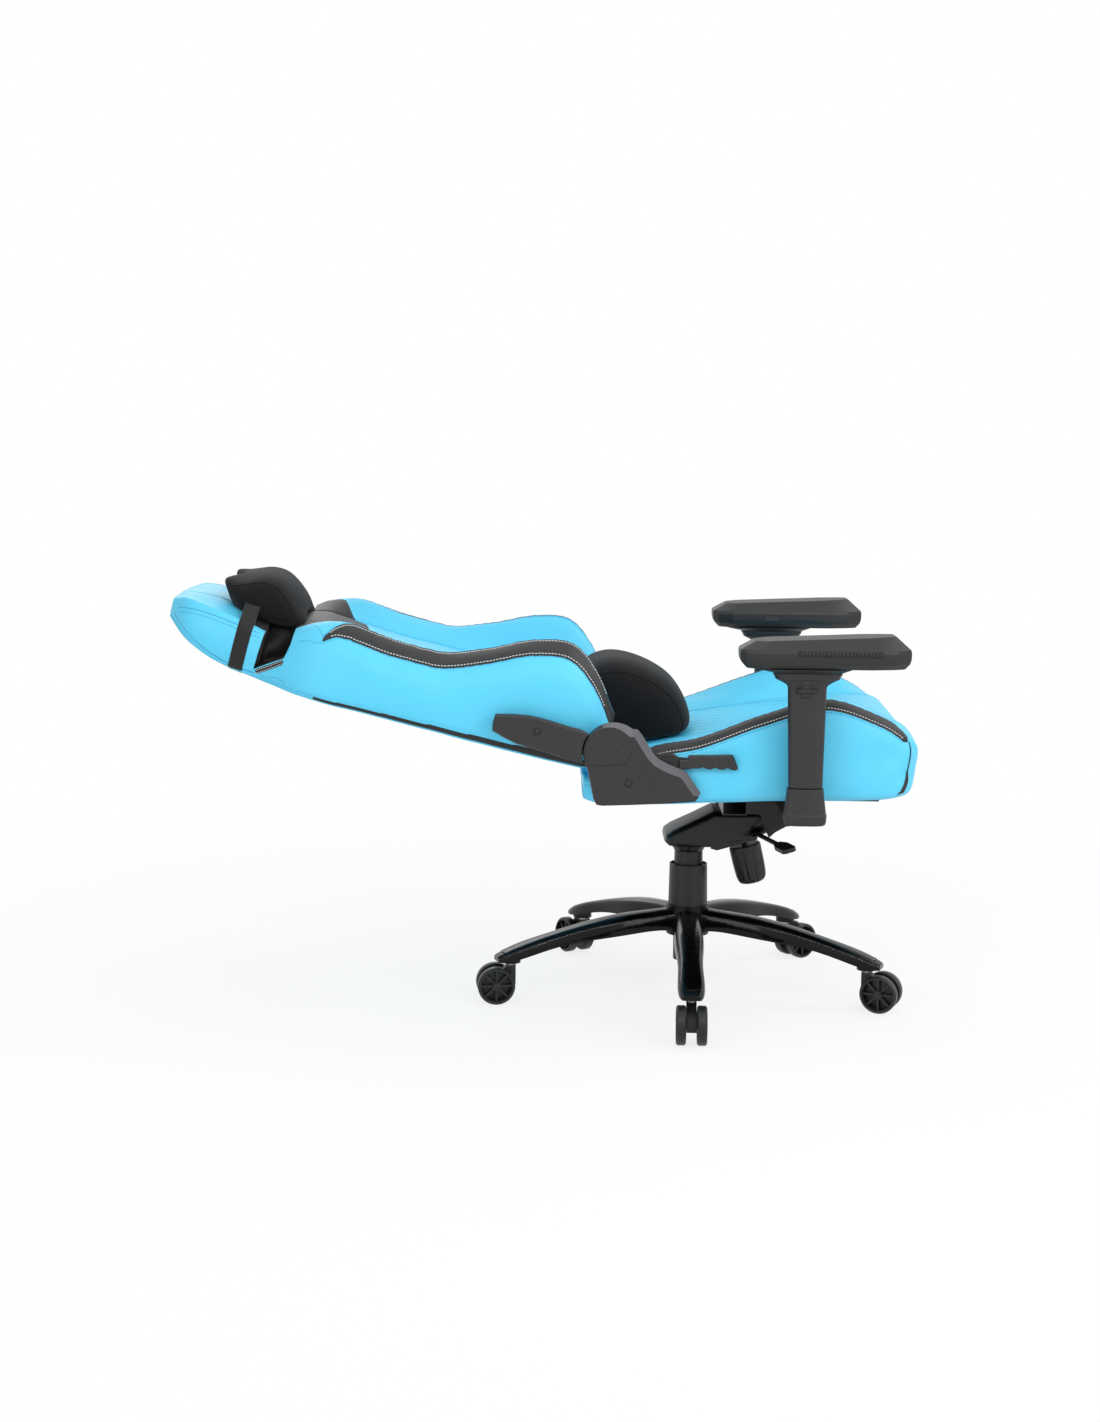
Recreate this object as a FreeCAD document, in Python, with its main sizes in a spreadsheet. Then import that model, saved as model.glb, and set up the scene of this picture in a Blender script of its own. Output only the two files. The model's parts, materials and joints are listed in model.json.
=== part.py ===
"""Reclining racing-style desk chair on a five-star caster base, as a parametric FreeCAD document.

Frame: the origin is on the floor under the gas lift, +Z is up, the chair faces -Y and its right side is -X.
The rest pose has the seat at its lowest, the backrest let down to its rear stop and the armrests down.
Millimetres and degrees.  Every driving size is a cell of the spreadsheet "dims".
"""
import FreeCAD, Part
import math
import os
import Sketcher

V = FreeCAD.Vector
X_AXIS, Y_AXIS, Z_AXIS = V(1, 0, 0), V(0, 1, 0), V(0, 0, 1)
SIDES = {"right": -1, "left": 1}
CASTERS = ("one", "two", "three", "four", "five")

DIMENSIONS = {
    # fits
    "running_gap": 0.05,
    "soft_gap": 0.4,
    "slide_gap": 0.4,
    "plate_gap": 0.6,
    # twin-wheel casters
    "wheel_radius": 32,
    "wheel_width": 16,
    "wheel_spacing": 34,
    "rim_wall": 5,
    "hub_radius": 7,
    "spoke_width": 3.6,
    "spoke_depth": 7,
    "axle_radius": 4,
    "caster_trail": 26,
    "stem_radius": 5.5,
    "stem_reach": 34,
    "fork_width": 16.4,
    "fork_collar_radius": 8.6,
    "fork_top": 64,
    "fork_tail_radius": 13,
    "caster_turn_one": 0,
    "caster_turn_two": -2,
    "caster_turn_three": -16,
    "caster_turn_four": -3,
    "caster_turn_five": -10,
    # five-star base
    "stem_circle": 320,
    "base_turn": -2.1,
    "boss_radius": 17,
    "boss_bottom": 69,
    "boss_top": 88,
    "star_wall": 4.5,
    "star_root_top": 152,
    "star_root_bottom": 108,
    "star_root_width": 54,
    "star_knee_top": 145,
    "star_knee_bottom": 113,
    "star_knee_width": 47,
    "star_middle_top": 130,
    "star_middle_bottom": 103,
    "star_middle_width": 45,
    "star_outer_top": 108,
    "star_outer_bottom": 86,
    "star_outer_width": 43,
    "star_toe_top": 90,
    "star_toe_bottom": 73,
    "star_toe_width": 40,
    "star_nose_reach": 26,
    "star_hub_radius": 37,
    "star_hub_top": 156,
    "star_hub_bottom": 104,
    # gas lift and its telescopic sleeves
    "lift_tube_radius": 25,
    "lift_tube_taper": 0.6,
    "lift_tube_bottom": 58,
    "lift_tube_top": 158,
    "lift_tube_floor": 4,
    "lift_guide_length": 40,
    "lift_chamber_radius": 21,
    "cylinder_radius": 14,
    "cylinder_bottom": 68,
    "cylinder_top": 292,
    "cylinder_tip_radius": 13,
    "cylinder_wall": 3,
    "cylinder_gland": 8,
    "rod_radius": 5,
    "rod_top": 262,
    "rod_disc_radius": 13,
    "rod_disc_height": 4,
    "sleeve_lower_radius": 34,
    "sleeve_lower_top": 227,
    "sleeve_draft": 1.2,
    "sleeve_wall": 2.2,
    "sleeve_middle_radius": 29.4,
    "sleeve_lip": 3,
    "sleeve_upper_radius": 25.2,
    "sleeve_bottom_gap": 5,
    # tilt mechanism
    "housing_bottom": 250,
    "housing_half_width": 55,
    "housing_wall": 3.5,
    "housing_rear": 46,
    "neck_radius": 33,
    "neck_foot_radius": 25.4,
    "neck_height": 20,
    "tilt_pivot_back": -152,
    "tilt_pivot_height": 332,
    "tilt_pin_radius": 6,
    "flange_drop": 6,
    "flange_half_width": 36,
    "knob_back": -95,
    "knob_tilt": 13.5,
    "knob_length": 68,
    "knob_radius": 28,
    "knob_foot_radius": 19,
    "knob_flute_radius": 5,
    "knob_screw_radius": 5,
    "knob_screw_reach": 44,
    "spring_wire": 7,
    "spring_radius": 17,
    "lever_back": -107,
    "lever_share": 0.5,
    "lever_rod_radius": 4,
    "lever_root": 40,
    "lever_root_pin_radius": 2,
    "lever_reach": 240,
    "lever_sweep": 13,
    "lever_paddle_length": 66,
    "lever_paddle_width": 24,
    "lever_paddle_thickness": 7,
    "lock_lever_reach": 215,
    # seat plate and frame
    "seat_plate_half_width": 91,
    "seat_plate_top": 352,
    "seat_plate_thickness": 3,
    "seat_plate_rear": -38,
    "seat_plate_front": -195,
    "rail_size": 25,
    "rail_wall": 2,
    "rail_bottom": 378,
    "seat_frame_half_width": 217,
    "seat_frame_front": -300,
    "seat_frame_rear": 95,
    "cross_channel_width": 40,
    "cross_front": -162,
    "cross_rear": -62,
    "bolt_radius": 4,
    "bolt_head_radius": 6.5,
    "bolt_head_height": 4,
    "bolt_spacing": 150,
    "webbing_thickness": 2,
    "webbing_width": 48,
    # recliner
    "recline_back": 143,
    "recline_height": 464,
    "recline_rest_angle": 14,
    "side_plate_inner": 266,
    "side_plate_thickness": 5,
    "recliner_disc_radius": 38,
    "recliner_pin_radius": 8,
    "stub_radius": 4.5,
    "back_stub_radius": 6,
    "cover_outer": 292,
    "cover_skin": 3,
    "dome_radius": 50,
    "dome_gap": 2,
    "cover_edge": 5,
    "back_arm_length": 190,
    "recline_lever_drop": 14,
    "recline_lever_setback": 62,
    "recline_lever_thickness": 5,
    "lever_pin_radius": 4,
    "recline_grip_front": -60,
    "recline_grip_rear": 36,
    "recline_grip_height": 23,
    "recline_grip_thickness": 14,
    # armrests
    "arm_offset": 310,
    "arm_back": -167,
    "arm_bracket_width": 42,
    "arm_bracket_thickness": 6,
    "arm_bracket_inner": 100,
    "arm_bracket_step": 11,
    "arm_post_thickness": 13,
    "arm_post_top": 560,
    "arm_socket_bottom": 355,
    "arm_socket_top": 415.4,
    "arm_socket_bulge": 68,
    "arm_socket_waist": 56,
    "arm_socket_depth": 38,
    "arm_sleeve_bottom": 416,
    "arm_sleeve_top": 588,
    "arm_sleeve_foot_length": 56,
    "arm_sleeve_head_length": 63,
    "arm_sleeve_foot_depth": 32,
    "arm_sleeve_head_depth": 37,
    "arm_head_top": 604,
    "arm_head_length": 116,
    "arm_head_depth": 58,
    "arm_corner": 4.5,
    "height_button_width": 31,
    "height_button_top": 590,
    "height_button_bottom": 567,
    "height_button_travel": 3,
    "cross_slide_thickness": 5.4,
    "cross_slide_half_length": 56,
    "cross_slide_half_depth": 33,
    "turntable_radius": 33,
    "turntable_thickness": 8.6,
    "pad_front": -332,
    "pad_rear": -56,
    "pad_half_width": 48,
    "pad_bottom": 612,
    "pad_top_rear": 654,
    "pad_top_front": 663,
    "pad_travel": 25,
    "pad_button_length": 26,
    "pad_button_height": 9,
    "pad_button_travel": 2,
    # seat cushion stations, front to rear: place along Y, half width, bolster crest, pan, underside
    "seat_front_along": -377,
    "seat_front_half": 190,
    "seat_front_crest": 440,
    "seat_front_pan": 446,
    "seat_front_under": 404,
    "seat_nose_along": -364,
    "seat_nose_half": 226,
    "seat_nose_crest": 468,
    "seat_nose_pan": 477,
    "seat_nose_under": 396,
    "seat_brow_along": -332,
    "seat_brow_half": 252,
    "seat_brow_crest": 501,
    "seat_brow_pan": 504,
    "seat_brow_under": 394,
    "seat_knee_along": -275,
    "seat_knee_half": 260,
    "seat_knee_crest": 532,
    "seat_knee_pan": 506,
    "seat_knee_under": 390,
    "seat_peak_along": -205,
    "seat_peak_half": 262,
    "seat_peak_crest": 550,
    "seat_peak_pan": 498,
    "seat_peak_under": 386,
    "seat_thigh_along": -100,
    "seat_thigh_half": 262,
    "seat_thigh_crest": 522,
    "seat_thigh_pan": 484,
    "seat_thigh_under": 381,
    "seat_hip_along": 0,
    "seat_hip_half": 262,
    "seat_hip_crest": 488,
    "seat_hip_pan": 468,
    "seat_hip_under": 377,
    "seat_rear_along": 90,
    "seat_rear_half": 261,
    "seat_rear_crest": 463,
    "seat_rear_pan": 454,
    "seat_rear_under": 374,
    "seat_sill_along": 99,
    "seat_sill_half": 261,
    "seat_sill_crest": 428,
    "seat_sill_pan": 425,
    "seat_sill_under": 374,
    "seat_tail_along": 122,
    "seat_tail_half": 260,
    "seat_tail_crest": 411,
    "seat_tail_pan": 410,
    "seat_tail_under": 373,
    "seat_end_along": 190,
    "seat_end_half": 246,
    "seat_end_crest": 404,
    "seat_end_pan": 404,
    "seat_end_under": 376,
    "seat_crest_inset": 24,
    "seat_pan_half": 168,
    # backrest cushion stations up the back: place along it, half width, bolster crest, centre panel, rear
    "back_hem_along": 8,
    "back_hem_half": 240,
    "back_hem_crest": 44,
    "back_hem_panel": 4,
    "back_hem_rear": 41,
    "back_loin_along": 50,
    "back_loin_half": 250,
    "back_loin_crest": 95,
    "back_loin_panel": 22,
    "back_loin_rear": 46,
    "back_lumbar_along": 118,
    "back_lumbar_half": 256,
    "back_lumbar_crest": 145,
    "back_lumbar_panel": 42,
    "back_lumbar_rear": 47,
    "back_waist_along": 165,
    "back_waist_half": 258,
    "back_waist_crest": 144,
    "back_waist_panel": 48,
    "back_waist_rear": 47,
    "back_ribs_along": 240,
    "back_ribs_half": 260,
    "back_ribs_crest": 110,
    "back_ribs_panel": 49,
    "back_ribs_rear": 47,
    "back_chest_along": 325,
    "back_chest_half": 262,
    "back_chest_crest": 76,
    "back_chest_panel": 48,
    "back_chest_rear": 47,
    "back_blade_along": 395,
    "back_blade_half": 263,
    "back_blade_crest": 78,
    "back_blade_panel": 48,
    "back_blade_rear": 47,
    "back_shoulder_along": 475,
    "back_shoulder_half": 258,
    "back_shoulder_crest": 84,
    "back_shoulder_panel": 53,
    "back_shoulder_rear": 48,
    "back_yoke_along": 530,
    "back_yoke_half": 240,
    "back_yoke_crest": 72,
    "back_yoke_panel": 58,
    "back_yoke_rear": 48,
    "back_collar_along": 566,
    "back_collar_half": 214,
    "back_collar_crest": 50,
    "back_collar_panel": 50,
    "back_collar_rear": 47,
    "back_neck_along": 604,
    "back_neck_half": 190,
    "back_neck_crest": 34,
    "back_neck_panel": 46,
    "back_neck_rear": 46,
    "back_nape_along": 650,
    "back_nape_half": 176,
    "back_nape_crest": 42,
    "back_nape_panel": 54,
    "back_nape_rear": 42,
    "back_head_along": 705,
    "back_head_half": 166,
    "back_head_crest": 50,
    "back_head_panel": 60,
    "back_head_rear": 28,
    "back_brow_along": 748,
    "back_brow_half": 146,
    "back_brow_crest": 50,
    "back_brow_panel": 57,
    "back_brow_rear": 8,
    "back_crown_along": 773,
    "back_crown_half": 112,
    "back_crown_crest": 34,
    "back_crown_panel": 38,
    "back_crown_rear": -6,
    "back_crest_inset": 44,
    "back_panel_half": 158,
    # backrest frame
    "back_tube_radius": 11,
    "back_tube_wall": 2,
    "back_tube_offset": 206,
    "back_tube_depth": -27,
    "back_tube_bottom": 34,
    "back_tube_shoulder": 520,
    "back_tube_head": 662,
    "back_tube_head_offset": 66,
    "back_cavity_front": -13,
    # harness openings between the head and the shoulders
    "harness_bottom": 561,
    "harness_top": 607,
    "harness_inner": 92,
    "harness_outer": 152,
    "harness_sill": -26,
    "harness_bezel_wall": 4,
    # pillows and strap
    "neck_pillow_half_width": 140,
    "neck_pillow_rear": 60,
    "lumbar_pillow_half_width": 140,
    "strap_along": 640,
    "strap_width": 26,
    "strap_thickness": 1.6,
    "strap_end": 84,
}


class Size:
    """A number together with the spreadsheet formula that it comes from."""

    def __init__(self, value, formula):
        self.value = float(value)
        self.formula = formula

    def __float__(self):
        return self.value

    def __add__(self, other):
        other = as_size(other)
        return Size(self.value + other.value, "(%s + %s)" % (self.formula, other.formula))

    def __sub__(self, other):
        other = as_size(other)
        return Size(self.value - other.value, "(%s - %s)" % (self.formula, other.formula))

    def __mul__(self, other):
        other = as_size(other)
        return Size(self.value * other.value, "(%s * %s)" % (self.formula, other.formula))

    def __truediv__(self, other):
        other = as_size(other)
        return Size(self.value / other.value, "(%s / %s)" % (self.formula, other.formula))

    def __neg__(self):
        return Size(-self.value, "(0 - %s)" % self.formula)

    def __radd__(self, other):
        return as_size(other) + self

    def __rsub__(self, other):
        return as_size(other) - self

    def __rmul__(self, other):
        return as_size(other) * self


def as_size(number):
    return number if isinstance(number, Size) else Size(number, repr(float(number)))


def cosine(angle):
    return Size(math.cos(math.radians(float(angle))), "cos(%s)" % as_size(angle).formula)


def sine(angle):
    return Size(math.sin(math.radians(float(angle))), "sin(%s)" % as_size(angle).formula)


doc = FreeCAD.newDocument("desk_chair")
sheet = doc.addObject("Spreadsheet::Sheet", "dims")
for row, (alias, number) in enumerate(DIMENSIONS.items(), start=1):
    sheet.set("A%d" % row, alias)
    sheet.set("B%d" % row, str(number))
    sheet.setAlias("B%d" % row, alias)
doc.recompute()


class Sheet:
    """Reads a size from the spreadsheet by its alias."""

    def __getattr__(self, alias):
        return Size(sheet.get(alias), "dims." + alias)


dim = Sheet()
nodes = []

# ---------------------------------------------------------------- building blocks


def bind(target, path, size):
    """Ties one property of an object to the formula of a size."""
    target.setExpression(path, as_size(size).formula)


def new_body(label):
    body = doc.addObject("PartDesign::Body", label)
    body.Label = label
    nodes.append(body)
    return body


def outline(body, role, loops, lift, tilt=None):
    """Sketches closed loops on one of the body's own planes, lifted along its normal.

    A loop is a list of corner points, or a dict with the centre and radius of a circle.
    """
    sketch = body.newObject("Sketcher::SketchObject", body.Label + "_outline")
    plane = [item for item in body.Origin.OriginFeatures if item.Role == role][0]
    sketch.AttachmentSupport = (plane, [""])
    sketch.MapMode = "FlatFace"
    if tilt:
        base, axis, angle = tilt
        sketch.AttachmentOffset = FreeCAD.Placement(V(*[float(part) for part in base]),
                                                    FreeCAD.Rotation(axis, float(angle)))
        for name, part in zip("xyz", base):
            bind(sketch, "AttachmentOffset.Base." + name, part)
    else:
        sketch.AttachmentOffset = FreeCAD.Placement(V(0, 0, float(lift)), FreeCAD.Rotation())
        bind(sketch, "AttachmentOffset.Base.z", lift)
    for loop in loops:
        if isinstance(loop, dict):
            add_circle(sketch, loop)
        else:
            add_polygon(sketch, loop)
    return sketch


def pin_point(sketch, geometry, position, point):
    """Fixes one point of a sketch at its two distances from the sketch's origin."""
    for kind, size in zip(("DistanceX", "DistanceY"), point):
        index = sketch.addConstraint(
            Sketcher.Constraint(kind, -1, 1, geometry, position, float(size)))
        if isinstance(size, Size):
            sketch.setExpression("Constraints[%d]" % index, size.formula)


def add_circle(sketch, circle):
    centre = V(float(circle["at"][0]), float(circle["at"][1]), 0)
    geometry = sketch.addGeometry(Part.Circle(centre, Z_AXIS, float(circle["radius"])), False)
    pin_point(sketch, geometry, 3, circle["at"])
    index = sketch.addConstraint(
        Sketcher.Constraint("Radius", geometry, float(circle["radius"])))
    sketch.setExpression("Constraints[%d]" % index, as_size(circle["radius"]).formula)


def add_polygon(sketch, points):
    corners = [V(float(across), float(up), 0) for across, up in points]
    edges = []
    for start, end in zip(corners, corners[1:] + corners[:1]):
        edges.append(sketch.addGeometry(Part.LineSegment(start, end), False))
    for edge, following in zip(edges, edges[1:] + edges[:1]):
        sketch.addConstraint(Sketcher.Constraint("Coincident", edge, 2, following, 1))
    for edge, point in zip(edges, points):
        pin_point(sketch, edge, 1, point)


def pad(body, role, loops, start, length, tilt=None):
    """Extrudes loops from start, along the plane's normal, by length."""
    feature = body.newObject("PartDesign::Pad", body.Label + "_pad")
    feature.Profile = outline(body, role, loops, start, tilt)
    bind(feature, "Length", length)
    doc.recompute()
    return feature


def pocket(body, role, loops, start, length, tilt=None):
    """Cuts loops out of the body from start, along the plane's normal, over length."""
    before = body.Shape.Volume
    feature = body.newObject("PartDesign::Pocket", body.Label + "_pocket")
    feature.Profile = outline(body, role, loops, as_size(start) + length, tilt)
    bind(feature, "Length", length)
    doc.recompute()
    if body.Shape.Volume >= before:
        raise ValueError(body.Label + ": a pocket cuts nothing")
    return feature


def revolve(body, points):
    """Turns a half profile of (radius, height) points about the body's Z axis."""
    feature = body.newObject("PartDesign::Revolution", body.Label + "_turned")
    feature.Profile = outline(body, "XZ_Plane", [points], 0)
    feature.ReferenceAxis = (feature.Profile[0], ["V_Axis"])
    feature.Angle = 360
    doc.recompute()
    return feature


def dress(body, kind, size, wanted):
    """Chamfers or fillets the edges of the body's tip that wanted(edge) picks."""
    tip = body.Tip
    names = ["Edge%d" % number for number, edge in enumerate(tip.Shape.Edges, start=1)
             if wanted(edge)]
    feature = body.newObject("PartDesign::" + kind, body.Label + "_" + kind.lower())
    feature.Base = (tip, names)
    bind(feature, "Size" if kind == "Chamfer" else "Radius", size)
    doc.recompute()
    return feature


def place(item, x=0, y=0, z=0, axis=Z_AXIS, angle=0):
    """Sets an object's Placement and ties it to its sizes."""
    item.Placement = FreeCAD.Placement(V(float(x), float(y), float(z)),
                                       FreeCAD.Rotation(axis, float(angle)))
    for name, size in (("x", x), ("y", y), ("z", z)):
        bind(item, "Placement.Base." + name, size)
    if isinstance(angle, Size):
        bind(item, "Placement.Rotation.Angle", angle)
    return item


def primitive(kind, **sizes):
    """A Part primitive whose properties are tied to sizes."""
    item = doc.addObject("Part::" + kind, kind.lower())
    for name, size in sizes.items():
        bind(item, name, size)
    return item


def group(label, members):
    """Several separate solids kept as one node."""
    item = doc.addObject("Part::Compound", label)
    item.Label = label
    item.Links = members
    nodes.append(item)
    return item


def shaped(label, shape):
    """A node whose free-form shape is worked out here from the sheet's sizes."""
    item = doc.addObject("Part::Feature", label)
    item.Label = label
    item.Shape = shape
    nodes.append(item)
    return item


def vertical(edge):
    span = edge.BoundBox
    return span.ZLength > 1 and span.XLength < 0.01 and span.YLength < 0.01


def along_x(edge):
    span = edge.BoundBox
    return span.XLength > 1 and span.YLength < 0.01 and span.ZLength < 0.01


def polygon_face(points):
    return Part.Face(Part.makePolygon(points + points[:1]))


def prism_x(points, low, high):
    """A solid with the given (y, z) outline between two values of x."""
    face = polygon_face([V(low, float(y), float(z)) for y, z in points])
    return face.extrude(V(high - low, 0, 0))


def prism_z(points, low, high):
    face = polygon_face([V(float(x), float(y), low) for x, y in points])
    return face.extrude(V(0, 0, high - low))


def box(low, high):
    return Part.makeBox(high[0] - low[0], high[1] - low[1], high[2] - low[2], V(*low))


def mirrored(shape):
    return shape.mirror(V(0, 0, 0), X_AXIS)


def ruled_loft(rings):
    """A closed solid through rings of points that all have the same count."""
    return Part.makeLoft([Part.makePolygon(ring + ring[:1]) for ring in rings], True, True)


def onto_back(shape):
    """Moves a shape drawn as (across, along the back, out of the back) to the resting backrest."""
    placed = shape.copy()
    placed.rotate(V(0, 0, 0), X_AXIS, float(dim.recline_rest_angle))
    placed.translate(V(0, float(dim.recline_back), float(dim.recline_height)))
    return placed


# ---------------------------------------------------------------- five-star base and casters

STAR_STATIONS = ("root", "knee", "middle", "outer", "toe")


def star_reaches():
    """How far out each named station of a base arm lies."""
    circle = float(dim.stem_circle)
    return dict(zip(STAR_STATIONS, (18.0, circle * 0.28, circle * 0.59, circle * 0.86, circle + 8)))


def star_section(reach, width, top, bottom):
    """One cross-section of a base arm: a flat foot and a crowned back."""
    rise = top - bottom
    crown = [(-0.5, 0.0), (-0.5, 0.42), (-0.4, 0.84), (0.0, 1.0), (0.4, 0.84), (0.5, 0.42), (0.5, 0.0)]
    points = [V(reach, across * width, bottom + up * rise) for across, up in crown]
    back = Part.BSplineCurve()
    back.interpolate(points)
    return Part.Wire([back.toShape(), Part.LineSegment(points[-1], points[0]).toShape()])


def star_sizes(name):
    return [float(getattr(dim, "star_%s_%s" % (name, part))) for part in ("width", "top", "bottom")]


def between(reach, low, high, reaches):
    """The width, top and bottom of an arm at a reach between two named stations."""
    share = (reach - reaches[low]) / (reaches[high] - reaches[low])
    return [a + (b - a) * share for a, b in zip(star_sizes(low), star_sizes(high))]


def star_arm():
    reaches = star_reaches()
    wires = [star_section(reaches[name], *star_sizes(name)) for name in STAR_STATIONS]
    width, top, bottom = star_sizes("toe")
    nose = float(dim.stem_circle + dim.star_nose_reach)
    wires.append(star_section(nose, width * 0.72, top - 9, bottom - 1))
    return Part.makeLoft(wires, True, False)


def star_channel():
    """The hollow under an arm, a wall's thickness inside it."""
    reaches = star_reaches()
    wall = float(dim.star_wall)
    start = float(dim.star_hub_radius) + wall
    end = float(dim.stem_circle - dim.boss_radius) - wall
    stops = [(start, between(start, "root", "knee", reaches))]
    stops += [(reaches[name], star_sizes(name)) for name in ("knee", "middle", "outer")]
    stops.append((end, between(end, "outer", "toe", reaches)))
    wires = [star_section(reach, width - 2 * wall, top - wall, bottom - wall)
             for reach, (width, top, bottom) in stops]
    return Part.makeLoft(wires, True, False)


def caster_angle(name):
    """The direction of a base arm, in degrees from +X."""
    return dim.base_turn + 180 + 72 * CASTERS.index(name)


def tube_taper(height):
    """The lift tube's radius at a height within the base's tapered hub."""
    share = (float(dim.star_hub_top) - height) / float(dim.star_hub_top - dim.star_hub_bottom)
    return float(dim.lift_tube_radius) - float(dim.lift_tube_taper) * share


def make_star_base():
    arm = star_arm().fuse(Part.makeCylinder(
        float(dim.boss_radius), float(dim.boss_top - dim.boss_bottom),
        V(float(dim.stem_circle), 0, float(dim.boss_bottom))))
    socket = Part.makeCylinder(float(dim.stem_radius), float(dim.boss_top - dim.boss_bottom) - 3,
                               V(float(dim.stem_circle), 0, float(dim.boss_bottom)))
    arm = arm.cut(star_channel()).cut(socket)
    low, high = float(dim.star_hub_bottom), float(dim.star_hub_top)
    hub = Part.makeCylinder(float(dim.star_hub_radius), high - low, V(0, 0, low))
    arms = []
    for name in CASTERS:
        copy = arm.copy()
        copy.rotate(V(0, 0, 0), Z_AXIS, float(caster_angle(name)))
        arms.append(copy)
    bore = Part.makeCone(tube_taper(low - 10), tube_taper(high + 10), high - low + 20, V(0, 0, low - 10))
    shaped("star_base", hub.fuse(arms).cut(bore).removeSplitter())


def make_lift_tube():
    body = new_body("lift_tube")
    radius = dim.lift_tube_radius
    foot = radius - dim.lift_tube_taper
    top, bottom = dim.lift_tube_top, dim.lift_tube_bottom
    guide = dim.cylinder_radius + dim.running_gap
    revolve(body, [(dim.rod_radius + 0.5, bottom), (foot, bottom), (foot, dim.star_hub_bottom),
                   (radius, dim.star_hub_top), (radius, top), (guide, top),
                   (guide, top - dim.lift_guide_length),
                   (dim.lift_chamber_radius, top - dim.lift_guide_length),
                   (dim.lift_chamber_radius, bottom + dim.lift_tube_floor),
                   (dim.rod_radius + 0.5, bottom + dim.lift_tube_floor)])


def make_sleeve(label, low, high, foot_radius, draft, wall):
    """A slightly conical telescopic cover around the gas lift."""
    body = new_body(label)
    revolve(body, [(foot_radius, low), (foot_radius - draft, high),
                   (foot_radius - draft - wall, high), (foot_radius - wall, low)])
    return body


def make_sleeves():
    low = dim.star_hub_top
    nested = low + dim.sleeve_bottom_gap
    make_sleeve("sleeve_lower", low, dim.sleeve_lower_top, dim.sleeve_lower_radius,
                dim.sleeve_draft, dim.sleeve_wall)
    body = new_body("sleeve_middle")
    outer = dim.sleeve_middle_radius
    inner = outer - dim.sleeve_wall
    high = dim.sleeve_lower_top - dim.sleeve_lip
    foot = dim.sleeve_lower_radius - dim.sleeve_draft - dim.sleeve_wall - dim.slide_gap
    collar = dim.sleeve_upper_radius + dim.slide_gap
    revolve(body, [(foot, nested), (foot, nested + dim.sleeve_lip), (outer, nested + dim.sleeve_lip),
                   (outer, high), (collar, high), (collar, high - dim.sleeve_lip),
                   (inner, high - dim.sleeve_lip), (inner, nested)])
    make_sleeve("sleeve_upper", nested, dim.housing_bottom, dim.sleeve_upper_radius,
                dim.sleeve_draft / 2, dim.sleeve_wall)


def make_lift_rod():
    body = new_body("lift_rod")
    floor = dim.lift_tube_bottom + dim.lift_tube_floor + dim.running_gap
    piston = dim.cylinder_radius - dim.cylinder_wall - dim.running_gap
    piston_low = dim.rod_top - 8
    revolve(body, [(0, dim.lift_tube_bottom), (dim.rod_radius, dim.lift_tube_bottom),
                   (dim.rod_radius, floor), (dim.rod_disc_radius, floor),
                   (dim.rod_disc_radius, floor + dim.rod_disc_height),
                   (dim.rod_radius, floor + dim.rod_disc_height), (dim.rod_radius, piston_low),
                   (piston, piston_low), (piston, dim.rod_top), (0, dim.rod_top)])


def make_lift_cylinder():
    body = new_body("lift_cylinder")
    radius, tip = dim.cylinder_radius, dim.cylinder_tip_radius
    bottom, top = dim.cylinder_bottom, dim.cylinder_top
    neck = dim.housing_bottom + dim.neck_height
    bore = radius - dim.cylinder_wall
    gland = dim.rod_radius + dim.running_gap
    revolve(body, [(gland, bottom), (radius, bottom), (radius, neck), (tip, neck), (tip, top),
                   (0, top), (0, top - dim.cylinder_gland), (bore, top - dim.cylinder_gland),
                   (bore, bottom + dim.cylinder_gland), (gland, bottom + dim.cylinder_gland)])


def caster_stem_place(item, name, height):
    angle = caster_angle(name)
    return place(item, dim.stem_circle * cosine(angle), dim.stem_circle * sine(angle), height)


def make_caster_stems():
    stems = []
    for name in CASTERS:
        stem = primitive("Cylinder", Radius=dim.stem_radius,
                         Height=dim.boss_top - 3 - (dim.fork_top - dim.stem_reach + 4))
        stems.append(caster_stem_place(stem, name, dim.fork_top - dim.stem_reach + 4))
    group("caster_stems", stems)


def caster_place(item, name):
    """Stands a caster part, drawn with its stem on the Z axis and trailing along +X, under its arm."""
    angle = caster_angle(name)
    heading = angle + getattr(dim, "caster_turn_" + name)
    return place(item, dim.stem_circle * cosine(angle), dim.stem_circle * sine(angle), 0,
                 Z_AXIS, heading)


def make_fork(name):
    body = new_body("caster_fork_" + name)
    half = dim.fork_width / 2
    collar = dim.fork_collar_radius
    top = dim.fork_top
    trail, height = dim.caster_trail, dim.wheel_radius
    tail = dim.fork_tail_radius
    neck = collar - 1.6
    side = [(-neck, top), (neck, top), (neck + 8, top - 6), (trail + tail - 2, height + tail),
            (trail + tail, height + 2), (trail + tail - 4, height - tail + 3),
            (trail, height - tail + 7), (6 - neck, height - tail + 7), (-neck, height)]
    pad(body, "XZ_Plane", [side], -half, dim.fork_width)
    pad(body, "XY_Plane", [{"at": (0, 0), "radius": collar}], top - dim.stem_reach, dim.stem_reach)
    depth = dim.stem_reach - 4
    pocket(body, "XY_Plane", [{"at": (0, 0), "radius": dim.stem_radius + dim.running_gap}],
           top - depth, depth)
    pocket(body, "XZ_Plane",
           [{"at": (trail, height), "radius": dim.axle_radius + dim.running_gap}],
           -collar - 2, collar * 2 + 4)
    caster_place(body, name)


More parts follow.
